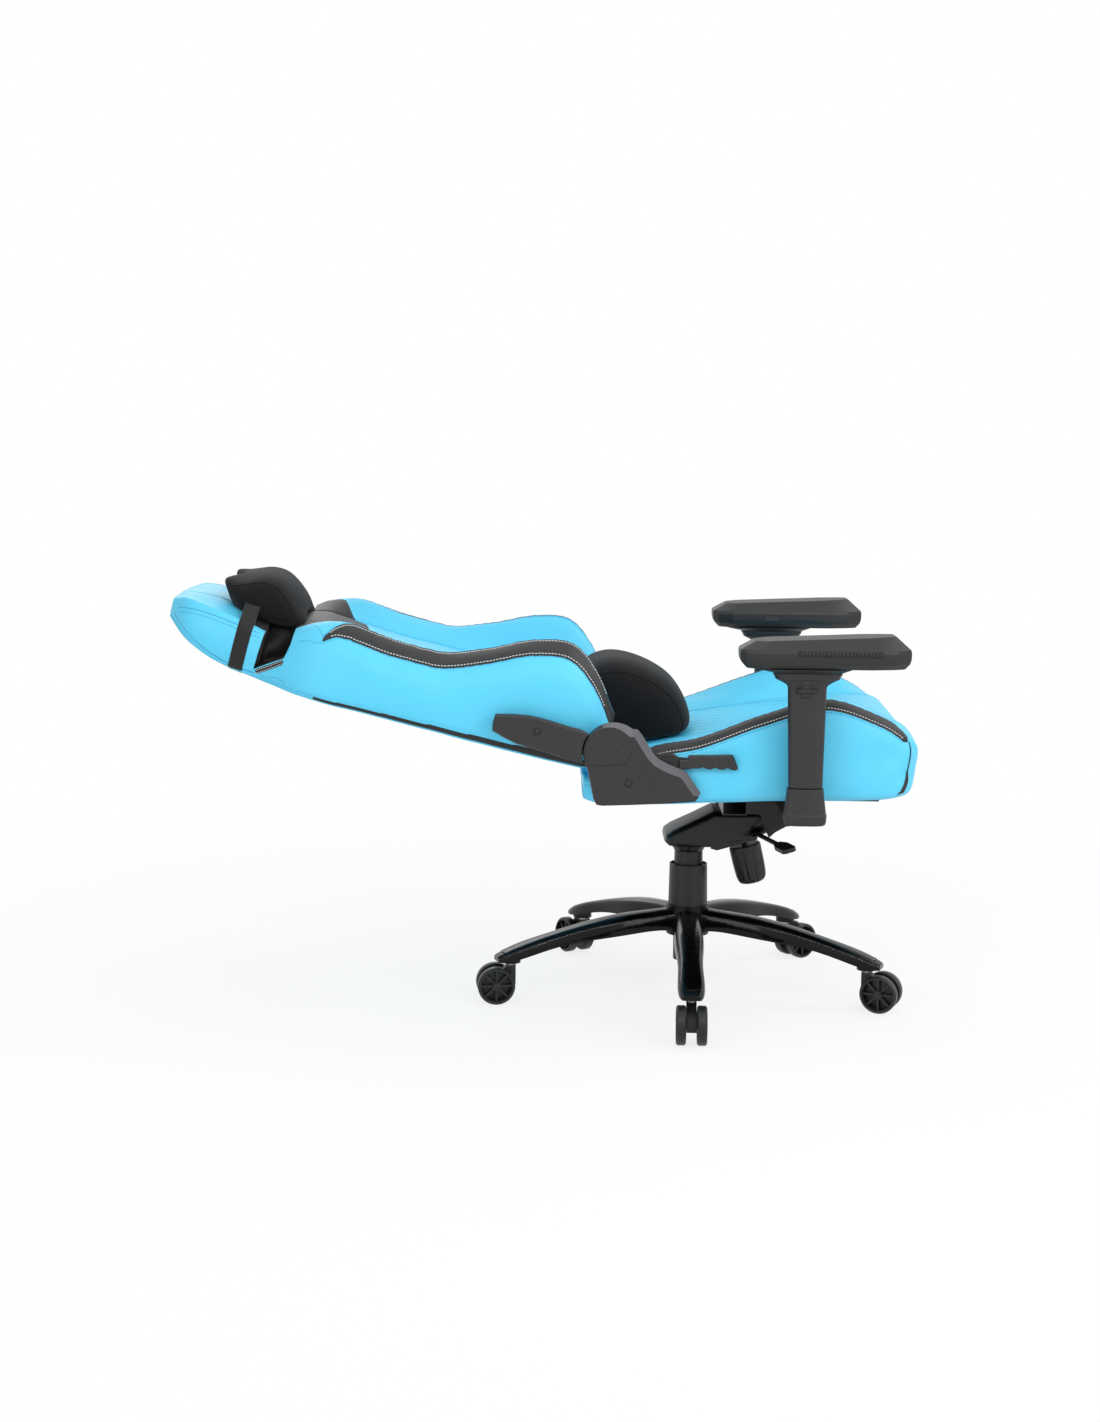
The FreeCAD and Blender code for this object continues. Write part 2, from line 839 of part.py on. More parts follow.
def make_wheels(name):
    """Both wheels of a caster on their axle, spoked discs with a ring of eight openings."""
    body = new_body("caster_wheels_" + name)
    trail, height = dim.caster_trail, dim.wheel_radius
    inner = dim.wheel_spacing / 2 - dim.wheel_width / 2
    outer = dim.wheel_spacing / 2 + dim.wheel_width / 2
    centre = (trail, height)
    pad(body, "XZ_Plane", [{"at": centre, "radius": dim.axle_radius}], -outer, outer * 2)
    rim_hollow = dim.wheel_radius - dim.rim_wall
    for low in (inner, -outer):
        pad(body, "XZ_Plane", [{"at": centre, "radius": dim.wheel_radius}], low, dim.wheel_width)
        ring = [{"at": centre, "radius": rim_hollow}, {"at": centre, "radius": dim.hub_radius}]
        shallow = (dim.wheel_width - dim.spoke_depth) / 2
        pocket(body, "XZ_Plane", ring, low, shallow)
        pocket(body, "XZ_Plane", ring, low + dim.wheel_width - shallow, shallow)
        pocket(body, "XZ_Plane", spoke_windows(centre, rim_hollow), low + shallow, dim.spoke_depth)
    dress(body, "Chamfer", dim.rim_wall / 2, lambda edge: is_tread_rim(edge))
    caster_place(body, name)


def is_tread_rim(edge):
    curve = edge.Curve
    return isinstance(curve, Part.Circle) and abs(curve.Radius - float(dim.wheel_radius)) < 0.01


def spoke_windows(centre, rim_hollow, count=8):
    """The openings between the spokes, as four-sided loops that leave each spoke's width."""
    windows = []
    half = float(dim.spoke_width) / 2
    near, far = float(dim.hub_radius) + 1.5, float(rim_hollow) - 0.8
    for turn in range(count):
        low, high = 360.0 / count * turn, 360.0 / count * (turn + 1)
        corners = []
        for reach, edge, side in ((near, low, 1), (far, low, 1), (far, (low + high) / 2, 0),
                                  (far, high, -1), (near, high, -1)):
            trim = side * math.degrees(math.asin(half / reach))
            turn_to = math.radians(edge + trim)
            corners.append((centre[0] + reach * math.cos(turn_to), centre[1] + reach * math.sin(turn_to)))
        windows.append(corners)
    return windows


# ---------------------------------------------------------------- tilt mechanism


def housing_level(share):
    """A height in the housing, as a share of the way from its underside up to the tilt pin."""
    return dim.housing_bottom + (dim.tilt_pivot_height - dim.housing_bottom) * share


def lever_height():
    return housing_level(dim.lever_share)


def housing_side():
    """The housing's outline seen from the side, from the rear top corner round to the front."""
    rear = dim.housing_rear
    pivot_y, pivot_z = dim.tilt_pivot_back, dim.tilt_pivot_height
    nose = dim.tilt_pin_radius + 6
    floor, shoulder = housing_level(0.16), housing_level(0.43)
    return [(rear, shoulder), (rear - 9, floor), (-dim.neck_radius, floor),
            (dim.knob_back - 18, housing_level(0.38)), (pivot_y + 6, housing_level(0.56)),
            (pivot_y - nose, pivot_z - 8), (pivot_y - nose, pivot_z + nose - 3),
            (pivot_y - nose + 3, pivot_z + nose), (pivot_y + nose, pivot_z + nose),
            (pivot_y + nose + 12, pivot_z - 4), (dim.seat_plate_rear - 2, pivot_z - 6)]


def inset(points, distance):
    """Moves a closed outline inwards by a distance, corner by corner, as plain numbers."""
    corners = [(float(a), float(b)) for a, b in points]
    area = sum(p[0] * q[1] - q[0] * p[1] for p, q in zip(corners, corners[1:] + corners[:1]))
    side = 1 if area > 0 else -1
    lines = []
    for start, end in zip(corners, corners[1:] + corners[:1]):
        run, rise = end[0] - start[0], end[1] - start[1]
        length = math.hypot(run, rise)
        normal = (-rise / length * side, run / length * side)
        lines.append(((start[0] + normal[0] * distance, start[1] + normal[1] * distance), (run, rise)))
    moved = []
    for (base, way), (other, other_way) in zip(lines[-1:] + lines[:-1], lines):
        cross = way[0] * other_way[1] - way[1] * other_way[0]
        reach = ((other[0] - base[0]) * other_way[1] - (other[1] - base[1]) * other_way[0]) / cross
        moved.append((base[0] + way[0] * reach, base[1] + way[1] * reach))
    return moved


def knob_frame():
    """Where the knob's axis leaves the housing's underside, and its lean towards the front."""
    return (0, dim.knob_back, dim.housing_bottom + 21), X_AXIS, -dim.knob_tilt


def make_housing():
    body = new_body("mechanism_housing")
    half, wall = dim.housing_half_width, dim.housing_wall
    side = housing_side()
    pad(body, "YZ_Plane", [side], -half, half * 2)
    bottom, neck = dim.housing_bottom, dim.neck_height
    flange = [(-dim.neck_radius - 3, bottom + 14), (-dim.neck_radius - 3, bottom + 9),
              (-dim.neck_radius - 14, bottom + 6), (dim.knob_back - 22, bottom + 26),
              (dim.knob_back - 22, bottom + 33)]
    pad(body, "YZ_Plane", [flange], -dim.flange_half_width, dim.flange_half_width * 2)
    pocket(body, "YZ_Plane", [inset(side, float(wall))], -half + wall, (half - wall) * 2)
    revolve(body, [(dim.cylinder_radius, bottom), (dim.neck_foot_radius, bottom),
                   (dim.neck_radius, bottom + 15), (dim.neck_radius, bottom + neck),
                   (dim.cylinder_radius, bottom + neck)])
    pocket(body, "XY_Plane", [{"at": (0, 0), "radius": dim.cylinder_radius}], bottom, neck)
    pocket(body, "YZ_Plane", [{"at": (dim.tilt_pivot_back, dim.tilt_pivot_height),
                               "radius": dim.tilt_pin_radius}], -half, half * 2)
    pocket(body, "YZ_Plane", [{"at": (dim.lever_back - 4, lever_height() + 0.5),
                               "radius": dim.lever_rod_radius + 3}], -half, half * 2)
    ear, pin_height = 7, lever_height() + 0.1
    for side_sign in SIDES.values():
        middle = dim.lever_root * side_sign
        for start, low in ((-dim.lever_back - ear - 2.3, 11), (-dim.lever_back + ear + 0.7, 7)):
            foot, head = lever_height() - low, lever_height() + 5
            ears = [(middle - 4, foot), (middle + 4, foot), (middle + 4, head), (middle - 4, head)]
            pad(body, "XZ_Plane", [ears], start, 3)
        pad(body, "XZ_Plane", [{"at": (middle, pin_height), "radius": dim.lever_root_pin_radius}],
            -dim.lever_back - ear, ear * 2 + 2)
    base, axis, angle = knob_frame()
    top = (0, base[1] + 20 * sine(dim.knob_tilt), base[2] + 20 * cosine(dim.knob_tilt))
    pocket(body, "XY_Plane", [{"at": (0, 0), "radius": dim.knob_screw_radius + dim.slide_gap}],
           0, 44, (top, axis, angle))


def make_tilt_pin():
    pin = primitive("Cylinder", Radius=dim.tilt_pin_radius, Height=dim.seat_plate_half_width * 2 + 4)
    pin.Label = "tilt_pin"
    place(pin, -dim.seat_plate_half_width - 2, dim.tilt_pivot_back, dim.tilt_pivot_height, Y_AXIS, 90)
    nodes.append(pin)


def make_tension_spring():
    """The tilt spring, close wound around the tension screw inside the housing."""
    base, axis, angle = knob_frame()
    wire, radius = float(dim.spring_wire) / 2, float(dim.spring_radius)
    coils = None
    for turn in range(5):
        ring = Part.makeTorus(radius, wire, V(0, 0, 13.7 + turn * wire * 1.8))
        coils = ring if coils is None else coils.fuse(ring)
    coils.Placement = FreeCAD.Placement(V(*[float(part) for part in base]),
                                        FreeCAD.Rotation(axis, float(angle)))
    shaped("tension_spring", coils)


def make_knob():
    """The tension knob with its screw; the fluted grip tapers to a rounded foot."""
    body = new_body("tension_knob")
    length, radius, foot = dim.knob_length, dim.knob_radius, dim.knob_foot_radius
    seat = -dim.flange_drop - 4
    revolve(body, [(0, seat - length), (foot - 4, seat - length), (foot, seat - length + 4),
                   (radius - 1, seat - length * 0.38), (radius, seat - length * 0.2),
                   (radius - 1, seat), (dim.knob_screw_radius, seat),
                   (dim.knob_screw_radius, dim.knob_screw_reach), (0, dim.knob_screw_reach)])
    flute = {"at": (radius + dim.knob_flute_radius - 2, 0), "radius": dim.knob_flute_radius}
    cut = pocket(body, "XY_Plane", [flute], seat - length, length - 6)
    pattern = body.newObject("PartDesign::PolarPattern", "tension_knob_flutes")
    pattern.Originals = [cut]
    pattern.Axis = (cut.Profile[0], ["N_Axis"])
    pattern.Angle = 360
    pattern.Occurrences = 10
    body.Tip = pattern
    doc.recompute()
    base, axis, angle = knob_frame()
    place(body, *base, axis, float(angle))


def make_side_lever(label, side, reach):
    """A rod lever from the housing's side wall out to a flat finger paddle."""
    sweep = float(dim.lever_sweep)
    start = V(side * (float(dim.lever_root) - 3), float(dim.lever_back), float(lever_height()))
    run = reach - float(dim.lever_root) + 3
    way = V(side * math.cos(math.radians(sweep)), -math.sin(math.radians(sweep)), 0.03)
    rod = Part.makeCylinder(float(dim.lever_rod_radius), run - float(dim.lever_paddle_length) + 6, start, way)
    long, wide = float(dim.lever_paddle_length), float(dim.lever_paddle_width)
    thick = float(dim.lever_paddle_thickness)
    paddle = prism_z([(0, -wide * 0.22), (long * 0.3, -wide * 0.5), (long * 0.92, -wide * 0.5),
                      (long, -wide * 0.3), (long, wide * 0.3), (long * 0.92, wide * 0.5),
                      (long * 0.3, wide * 0.5), (0, wide * 0.22)], -thick / 2, thick / 2)
    paddle.Placement = FreeCAD.Placement(start + way * (run - long),
                                         FreeCAD.Rotation(X_AXIS, way))
    collar = Part.makeCylinder(float(dim.lever_rod_radius) + 1.6, 6, start, way)
    lever = rod.fuse(paddle).fuse(collar).removeSplitter()
    root = V(side * float(dim.lever_root), start.y - 20, start.z + 0.1)
    bore = Part.makeCylinder(float(dim.lever_root_pin_radius + dim.running_gap), 40, root, Y_AXIS)
    shaped(label, lever.cut(bore))


# ---------------------------------------------------------------- seat plate, frame and cushion


def make_seat_plate():
    body = new_body("seat_plate")
    half, top, thick = dim.seat_plate_half_width, dim.seat_plate_top, dim.seat_plate_thickness
    rear, front = dim.seat_plate_rear, dim.seat_plate_front
    pivot_y, pivot_z = dim.tilt_pivot_back, dim.tilt_pivot_height
    side = [(rear, top), (rear, top - 11), (rear - 14, top - 18), (pivot_y + 36, pivot_z - 2),
            (pivot_y + 30, pivot_z - 22), (pivot_y + 21, pivot_z - 42), (pivot_y + 10, pivot_z - 32),
            (pivot_y - 8, pivot_z - 22), (front, pivot_z - 17), (front, top)]
    pad(body, "YZ_Plane", [side], -half, half * 2)
    inner = [(rear + 5, top - thick), (rear + 5, pivot_z - 60), (front - 5, pivot_z - 60),
             (front - 5, top - thick)]
    pocket(body, "YZ_Plane", [inner], -half + thick, (half - thick) * 2)
    pocket(body, "YZ_Plane", [{"at": (pivot_y, pivot_z), "radius": dim.tilt_pin_radius + dim.running_gap}],
           -half, half * 2)
    reach = dim.bolt_spacing / 2
    holes = [{"at": (x, y), "radius": dim.bolt_radius} for x in (-reach, reach)
             for y in (dim.cross_front, dim.cross_rear)]
    pocket(body, "XY_Plane", holes, top - thick, thick)


def make_seat_bolts():
    """Four bolts up through the seat plate into the frame's cross channels."""
    bolts = []
    reach = dim.bolt_spacing / 2
    for x in (-reach, reach):
        for y in (dim.cross_front, dim.cross_rear):
            under = dim.seat_plate_top - dim.seat_plate_thickness
            head = primitive("Cylinder", Radius=dim.bolt_head_radius, Height=dim.bolt_head_height)
            place(head, x, y, under - dim.bolt_head_height)
            shank = primitive("Cylinder", Radius=dim.bolt_radius,
                              Height=dim.seat_plate_thickness + dim.rail_wall)
            place(shank, x, y, under)
            bolt = doc.addObject("Part::Fuse", "bolt")
            bolt.Base, bolt.Tool = head, shank
            bolts.append(bolt)
    group("seat_bolts", bolts)


def tube_along(axis, low, high, wall):
    """A square tube between two corners, open at both ends of its axis."""
    outer = box(low, high)
    inner_low = [value if index == axis else value + wall for index, value in enumerate(low)]
    inner_high = [value if index == axis else value - wall for index, value in enumerate(high)]
    return outer.cut(box(inner_low, inner_high))


def make_seat_frame():
    half, size, wall = float(dim.seat_frame_half_width), float(dim.rail_size), float(dim.rail_wall)
    front, rear, low = float(dim.seat_frame_front), float(dim.seat_frame_rear), float(dim.rail_bottom)
    high = low + size
    parts = []
    for side in (-1, 1):
        outer, inner = sorted((side * half, side * (half - size)))
        parts.append(tube_along(1, (outer, front, low), (inner, rear, high), wall))
    for y in (front, rear - size):
        parts.append(tube_along(0, (-half + size, y, low), (half - size, y + size, high), wall))
    width, plate_top = float(dim.cross_channel_width), float(dim.seat_plate_top)
    reach = float(dim.bolt_spacing) / 2
    for y in (float(dim.cross_front), float(dim.cross_rear)):
        cross = tube_along(0, (-half, y - width / 2, plate_top), (half, y + width / 2, low), wall)
        for x in (-reach, reach):
            cross = cross.cut(Part.makeCylinder(float(dim.bolt_radius), wall, V(x, y, plate_top)))
        parts.append(cross)
    shaped("seat_frame", parts[0].fuse(parts[1:]).removeSplitter())


def make_seat_webbing():
    """Elastic belts stretched between the front and rear rails under the foam."""
    belts = []
    low = dim.rail_bottom + dim.rail_size
    for across in (-2, -1, 0, 1, 2):
        belt = primitive("Box", Length=dim.webbing_width, Width=dim.seat_frame_rear - dim.seat_frame_front,
                         Height=dim.webbing_thickness)
        belts.append(place(belt, dim.webbing_width * 1.5 * across - dim.webbing_width / 2,
                           dim.seat_frame_front, low))
    group("seat_webbing", belts)


SEAT_STATIONS = ("front", "nose", "brow", "knee", "peak", "thigh", "hip", "rear", "sill", "tail", "end")


def seat_ring(name):
    """One cross-section of the seat cushion, clockwise from the middle of its underside."""
    along, half, crest, pan, under = [float(getattr(dim, "seat_%s_%s" % (name, part)))
                                      for part in ("along", "half", "crest", "pan", "under")]
    share = half / float(dim.seat_peak_half)
    inset_x = float(dim.seat_crest_inset) * share
    pan_half = float(dim.seat_pan_half) * share
    rise = crest - pan
    edge = min(18.0, (crest - under) * 0.25)
    right = [(half - 14, under), (half - 2, under + edge), (half, crest - edge),
             (half - inset_x, crest), (half - inset_x - 26 * share, crest - 0.35 * rise), (pan_half, pan)]
    left = [(-x, z) for x, z in reversed(right)]
    return [V(x, along, z) for x, z in right + left]


def side_stub_places():
    """Where the recliner's lower bolts pass through the cushion into the side rails."""
    height = float(dim.rail_bottom + dim.rail_size / 2)
    rear = float(dim.seat_frame_rear)
    return [(rear - 20, height), (rear - 45, height)]


def make_seat_cushion():
    rings = [seat_ring(name) for name in SEAT_STATIONS]
    gap = float(dim.soft_gap)
    half = float(dim.seat_frame_half_width) + gap
    low, high = float(dim.rail_bottom), float(dim.rail_bottom + dim.rail_size + dim.webbing_thickness)
    shape = ruled_loft(rings)
    well = box((-half, float(dim.seat_frame_front) - gap, low - 60),
               (half, float(dim.seat_frame_rear) + gap, high + gap))
    shape = shape.cut(well)
    for y, z in side_stub_places():
        shape = shape.cut(Part.makeCylinder(float(dim.stub_radius) + gap, 700, V(-350, y, z), X_AXIS))
    shaped("seat_cushion", shape)


# ---------------------------------------------------------------- recliner


def pivot_point(back=0, up=0):
    """A point near the recline pivot, in the side view."""
    return dim.recline_back + back, dim.recline_height + up


def lower_plate_outline():
    return [pivot_point(30, -20), pivot_point(24, -66), pivot_point(-70, -77), pivot_point(-120, -70),
            pivot_point(-112, -44), pivot_point(-68, -8), pivot_point(-30, 14)]


def make_recliner_plates():
    inner, thick = float(dim.side_plate_inner), float(dim.side_plate_thickness)
    centre = [float(value) for value in pivot_point()]
    plate = prism_x(lower_plate_outline(), inner, inner + thick)
    disc = Part.makeCylinder(float(dim.recliner_disc_radius), thick, V(inner, *centre), X_AXIS)
    plate = plate.fuse(disc)
    for y, z in side_stub_places():
        length = inner - float(dim.seat_frame_half_width)
        plate = plate.fuse(Part.makeCylinder(float(dim.stub_radius), length, V(inner - length, y, z), X_AXIS))
    hole = Part.makeCylinder(float(dim.recliner_pin_radius), thick, V(inner, *centre), X_AXIS)
    plate = plate.cut(hole).removeSplitter()
    reach = thick + float(dim.plate_gap + dim.recline_lever_thickness)
    pin = Part.makeCylinder(float(dim.lever_pin_radius), reach, V(-inner - reach, *lever_pivot()), X_AXIS)
    shaped("recliner_plates", Part.makeCompound([plate, mirrored(plate).fuse(pin).removeSplitter()]))


def make_recliner_pins():
    pins = []
    length = dim.side_plate_thickness * 2 + dim.plate_gap + 3
    for side in (-1, 1):
        pin = primitive("Cylinder", Radius=dim.recliner_pin_radius, Height=length)
        start = dim.side_plate_inner if side > 0 else -dim.side_plate_inner - length
        pins.append(place(pin, start, *pivot_point(), Y_AXIS, 90))
    group("recliner_pins", pins)


def cover_outline():
    """The lower recliner cover: a dome around the pivot that runs down into a low front fin."""
    radius = float(dim.dome_radius)
    back, up = float(dim.recline_back), float(dim.recline_height)
    dome = []
    for degrees in range(-20, 121, 14):
        turn = math.radians(degrees)
        dome.append((back + radius * math.cos(turn), up + radius * math.sin(turn)))
    fin = [pivot_point(-42, 33), pivot_point(-56, 16), pivot_point(-74, -8), pivot_point(-104, -23),
           pivot_point(-121, -31), pivot_point(-143, -64), pivot_point(-135, -79), pivot_point(20, -87),
           pivot_point(33, -76)]
    return dome + [(float(y), float(z)) for y, z in fin]


def make_recliner_cover(name, side):
    """A moulded cover over the seat's recliner plate, hollow towards the chair."""
    inner = dim.side_plate_inner + dim.side_plate_thickness * 2 + dim.plate_gap * 2
    body = new_body("recliner_cover_" + name)
    outer, depth = dim.cover_outer, dim.cover_outer - inner
    start = inner if side > 0 else -outer
    pad(body, "YZ_Plane", [cover_outline()], start, depth)
    dress(body, "Chamfer", dim.cover_edge, lambda edge: on_outer_face(edge, side * float(outer)))
    hollow = depth - dim.cover_skin
    pocket(body, "YZ_Plane", [inset(cover_outline(), float(dim.cover_edge) + float(dim.cover_skin))],
           inner if side > 0 else -inner - hollow, hollow)
    shell = body
    low, high = float(dim.side_plate_inner) - 1.5, float(inner)
    rim = rim_strip(low, high)
    shell.Label = "recliner_cover_%s_shell" % name
    nodes.remove(shell)
    strip = doc.addObject("Part::Feature", "recliner_rim_" + name)
    strip.Shape = rim if side > 0 else mirrored(rim)
    joined = doc.addObject("Part::Fuse", "recliner_cover_%s_joined" % name)
    joined.Base, joined.Tool = shell, strip
    joined.Refine = True
    joined.Label = "recliner_cover_" + name
    nodes.append(joined)


def rim_strip(low, high):
    """The band that closes the cover's lower edge against the seat's side."""
    wall = float(dim.cover_skin)
    loop = cover_outline()
    outer = prism_x(loop, low, high)
    inner = prism_x(inset(loop, wall), low, high)
    band = outer.cut(inner)
    open_top = prism_x([pivot_point(60, -26), pivot_point(60, 100), pivot_point(-170, 100),
                        pivot_point(-170, -42)], low - 1, high + 1)
    return band.cut(open_top)


def on_outer_face(edge, x):
    span = edge.BoundBox
    return abs(span.XMin - x) < 0.01 and abs(span.XMax - x) < 0.01


def back_stub_places():
    length = float(dim.back_arm_length)
    return [(length * 0.5, -4.0), (length * 0.88, -4.0)]


def back_arm_side(inset_by=0.0):
    """The upper arm's outline along the back, outside the dome."""
    length = float(dim.back_arm_length)
    return [(0.0, -26 + inset_by), (length * 0.82, -22 + inset_by), (length - inset_by, -10.0),
            (length - inset_by, 10.0), (length * 0.75, 22 - inset_by), (0.0, 24 - inset_by)]


def make_back_arm_plates():
    """Steel arms that turn on the recliner pins and carry the backrest's uprights."""
    inner = float(dim.side_plate_inner + dim.side_plate_thickness + dim.plate_gap)
    thick = float(dim.side_plate_thickness)
    tube_face = float(dim.back_tube_offset)
    plate = prism_x(back_arm_side(8.0), inner, inner + thick)
    plate = plate.fuse(Part.makeCylinder(float(dim.recliner_disc_radius) - 4, thick, V(inner, 0, 0), X_AXIS))
    for along, out in back_stub_places():
        plate = plate.fuse(Part.makeCylinder(float(dim.back_stub_radius), inner - tube_face,
                                             V(tube_face, along, out), X_AXIS))
    plate = plate.cut(Part.makeCylinder(float(dim.recliner_pin_radius + dim.running_gap), thick * 3,
                                        V(inner - thick, 0, 0), X_AXIS))
    tube = Part.makeCylinder(float(dim.back_tube_radius), 2000, V(tube_face, -500, float(dim.back_tube_depth)),
                             Y_AXIS)
    plate = onto_back(plate.cut(tube).removeSplitter())
    shaped("back_arm_plates", Part.makeCompound([plate, mirrored(plate)]))


def upper_cover_outline():
    """The upper cover along the back; its lower end is hollowed round the dome."""
    reach = float(dim.dome_radius + dim.dome_gap)
    length = float(dim.back_arm_length) + 14
    end = []
    for degrees in range(-36, 37, 8):
        turn = math.radians(degrees)
        end.append((reach * math.cos(turn), reach * math.sin(turn)))
    return end + [(length * 0.72, 27.0), (length - 3, 14.0), (length, 8.0), (length - 2, -13.0),
                  (length * 0.79, -26.0), (reach * 1.1, -31.0)]


def make_back_arm_cover(name, side):
    inner, outer = float(dim.side_plate_inner) - 1.0, float(dim.cover_outer)
    loop = upper_cover_outline()
    shape = prism_x(loop, inner, outer)
    edges = [edge for edge in shape.Edges if on_outer_face(edge, outer)]
    shape = shape.makeChamfer(float(dim.cover_edge) - 1, edges)
    skin = float(dim.cover_skin)
    length = float(dim.back_arm_length)
    hollow = prism_x([(0.0, -26.0 + 3), (length * 0.8, -19.0), (length + 5, -9.0), (length + 5, 8.0),
                      (length * 0.75, 20.0), (0.0, 21.0)], inner - 1, outer - skin - 1)
    shape = onto_back(shape.cut(hollow))
    shaped("back_arm_cover_" + name, shape if side > 0 else mirrored(shape))


def make_recline_lever():
    """The steel release bar and its moulded grip on the chair's right side."""
    high = -float(dim.side_plate_inner + dim.side_plate_thickness + dim.plate_gap)
    low = high - float(dim.recline_lever_thickness)
    pin_y, pin_z = lever_pivot()
    root = [(pin_y + 12, pin_z - 8), (pin_y + 12, pin_z + 8), (pin_y - 4, pin_z + 13),
            (pin_y - 30, pin_z + 9), (float(dim.recline_grip_rear) - 30, pin_z + 4),
            (float(dim.recline_grip_rear) - 30, pin_z - 6), (pin_y - 26, pin_z - 12)]
    bar = prism_x(root, low, high)
    shaped("recline_lever", bar.cut(Part.makeCylinder(float(dim.lever_pin_radius + dim.running_gap), 20,
                                                      V(low - 5, pin_y, pin_z), X_AXIS)))


def lever_pivot():
    return float(dim.recline_back - dim.recline_lever_setback), float(
        dim.recline_height - dim.recline_lever_drop)


def make_recline_grip():
    front, rear = float(dim.recline_grip_front), float(dim.recline_grip_rear)
    tall, thick = float(dim.recline_grip_height), float(dim.recline_grip_thickness)
    middle = -float(dim.side_plate_inner + dim.side_plate_thickness + dim.plate_gap +
                    dim.recline_lever_thickness / 2)
    pin_z = lever_pivot()[1]
    low, high = pin_z - tall * 0.58, pin_z + tall * 0.42
    top = [(rear, low + 6), (rear, high - 3), (rear - 14, high - 1), (rear - 22, high + 2),
           (front + 9, high + 2), (front, low + 4), (front + 5, low)]
    waves = [(front + 22, low + 3), (front + 30, low), (front + 38, low), (front + 48, low + 3.5),
             (front + 57, low + 1), (front + 64, low + 1), (front + 74, low + 4)]
    grip = prism_x(top + waves, middle - thick / 2, middle + thick / 2)
    long_edges = [edge for edge in grip.Edges if not along_x(edge)]
    grip = grip.makeFillet(1.6, long_edges)
    pin_y = lever_pivot()[0]
    bar = [shape for shape in nodes if shape.Label == "recline_lever"][0].Shape
    shaped("recline_lever_grip", grip.cut(bar))


# ---------------------------------------------------------------- backrest

BACK_STATIONS = ("hem", "loin", "lumbar", "waist", "ribs", "chest", "blade", "shoulder", "yoke", "collar",
                 "neck", "nape", "head", "brow", "crown")


def back_ring(name):
    """One cross-section of the backrest cushion, from its rear edge round over the bolsters."""
    along, half, crest, panel, rear = [float(getattr(dim, "back_%s_%s" % (name, part)))
                                       for part in ("along", "half", "crest", "panel", "rear")]
    share = half / float(dim.back_waist_half)
    inset_x = float(dim.back_crest_inset) * share
    panel_half = float(dim.back_panel_half) * share
    rise = crest - panel
    edge = min(15.0, (crest + rear) * 0.3)
    right = [(half - 20 * share, -rear), (half - 3, edge - rear), (half, (crest - rear) / 2),
             (half - 10 * share, crest - edge), (half - inset_x, crest),
             (half - inset_x - 22 * share, crest - 0.4 * rise), (panel_half * 0.88, panel)]
    left = [(-x, out) for x, out in reversed(right)]
    return [V(x, along, out) for x, out in right + left]


def harness_window(grow):
    """The opening beside the neck, through the back's whole thickness, on the left side."""
    return box((float(dim.harness_inner) - grow, float(dim.harness_bottom) - grow, -120.0),
               (float(dim.harness_outer) + grow, float(dim.harness_top) + grow, 160.0))


def back_tube_path():
    """Half of the bent frame tube, from the lower end of the left upright to the middle of its top."""
    side, depth = float(dim.back_tube_offset), float(dim.back_tube_depth)
    low, shoulder = float(dim.back_tube_bottom), float(dim.back_tube_shoulder)
    head, top = float(dim.back_tube_head), float(dim.back_tube_head_offset)
    return [V(side, low, depth), V(side, shoulder, depth), V(top, shoulder + 24, depth),
            V(top, head, depth + 14)]


def rod(start, end, radius):
    return Part.makeCylinder(radius, (end - start).Length, start, end - start)


def make_back_frame():
    """The steel frame: two uprights, a yoke in to the neck, the head hoop and two cross tubes."""
    radius = float(dim.back_tube_radius)
    path = back_tube_path()
    parts = []
    for start, end in zip(path, path[1:]):
        parts.append(rod(start, end, radius))
    parts += [Part.makeSphere(radius, point) for point in path[1:]]
    parts += [mirrored(part) for part in parts]
    mirror_point = V(-path[-1].x, path[-1].y, path[-1].z)
    parts.append(rod(path[-1], mirror_point, radius))
    low, high = float(dim.back_tube_bottom) + radius, float(dim.back_tube_shoulder) - 120
    side, depth = float(dim.back_tube_offset), float(dim.back_tube_depth)
    for along in (low + 6, high):
        parts.append(rod(V(-side, along, depth), V(side, along, depth), radius * 0.8))
    frame = parts[0].fuse(parts[1:])
    bores = [rod(start, end, radius - float(dim.back_tube_wall)) for start, end in zip(path, path[1:])]
    for bore in bores:
        frame = frame.cut(bore).cut(mirrored(bore))
    for along, out in back_stub_places():
        lug = box((side - radius, along - 14, depth), (side - 2, along + 14, out + 10))
        frame = frame.fuse(lug).fuse(mirrored(lug))
    shaped("back_frame", onto_back(frame.removeSplitter()))


def make_back_webbing():
    """Elastic belts across the backrest, hooked to the front of the uprights."""
    belts = []
    side = float(dim.back_tube_offset)
    depth = float(dim.back_tube_depth) + float(dim.back_tube_radius)
    first, second = [along for along, out in back_stub_places()]
    high = float(dim.back_tube_shoulder) - 70
    for along in [(first + second) / 2] + [second + 48 + (high - second - 48) / 3 * turn for turn in range(4)]:
        belts.append(box((-side, along - 20, depth), (side, along + 20, depth + float(dim.webbing_thickness))))
    shaped("back_webbing", onto_back(Part.makeCompound(belts)))


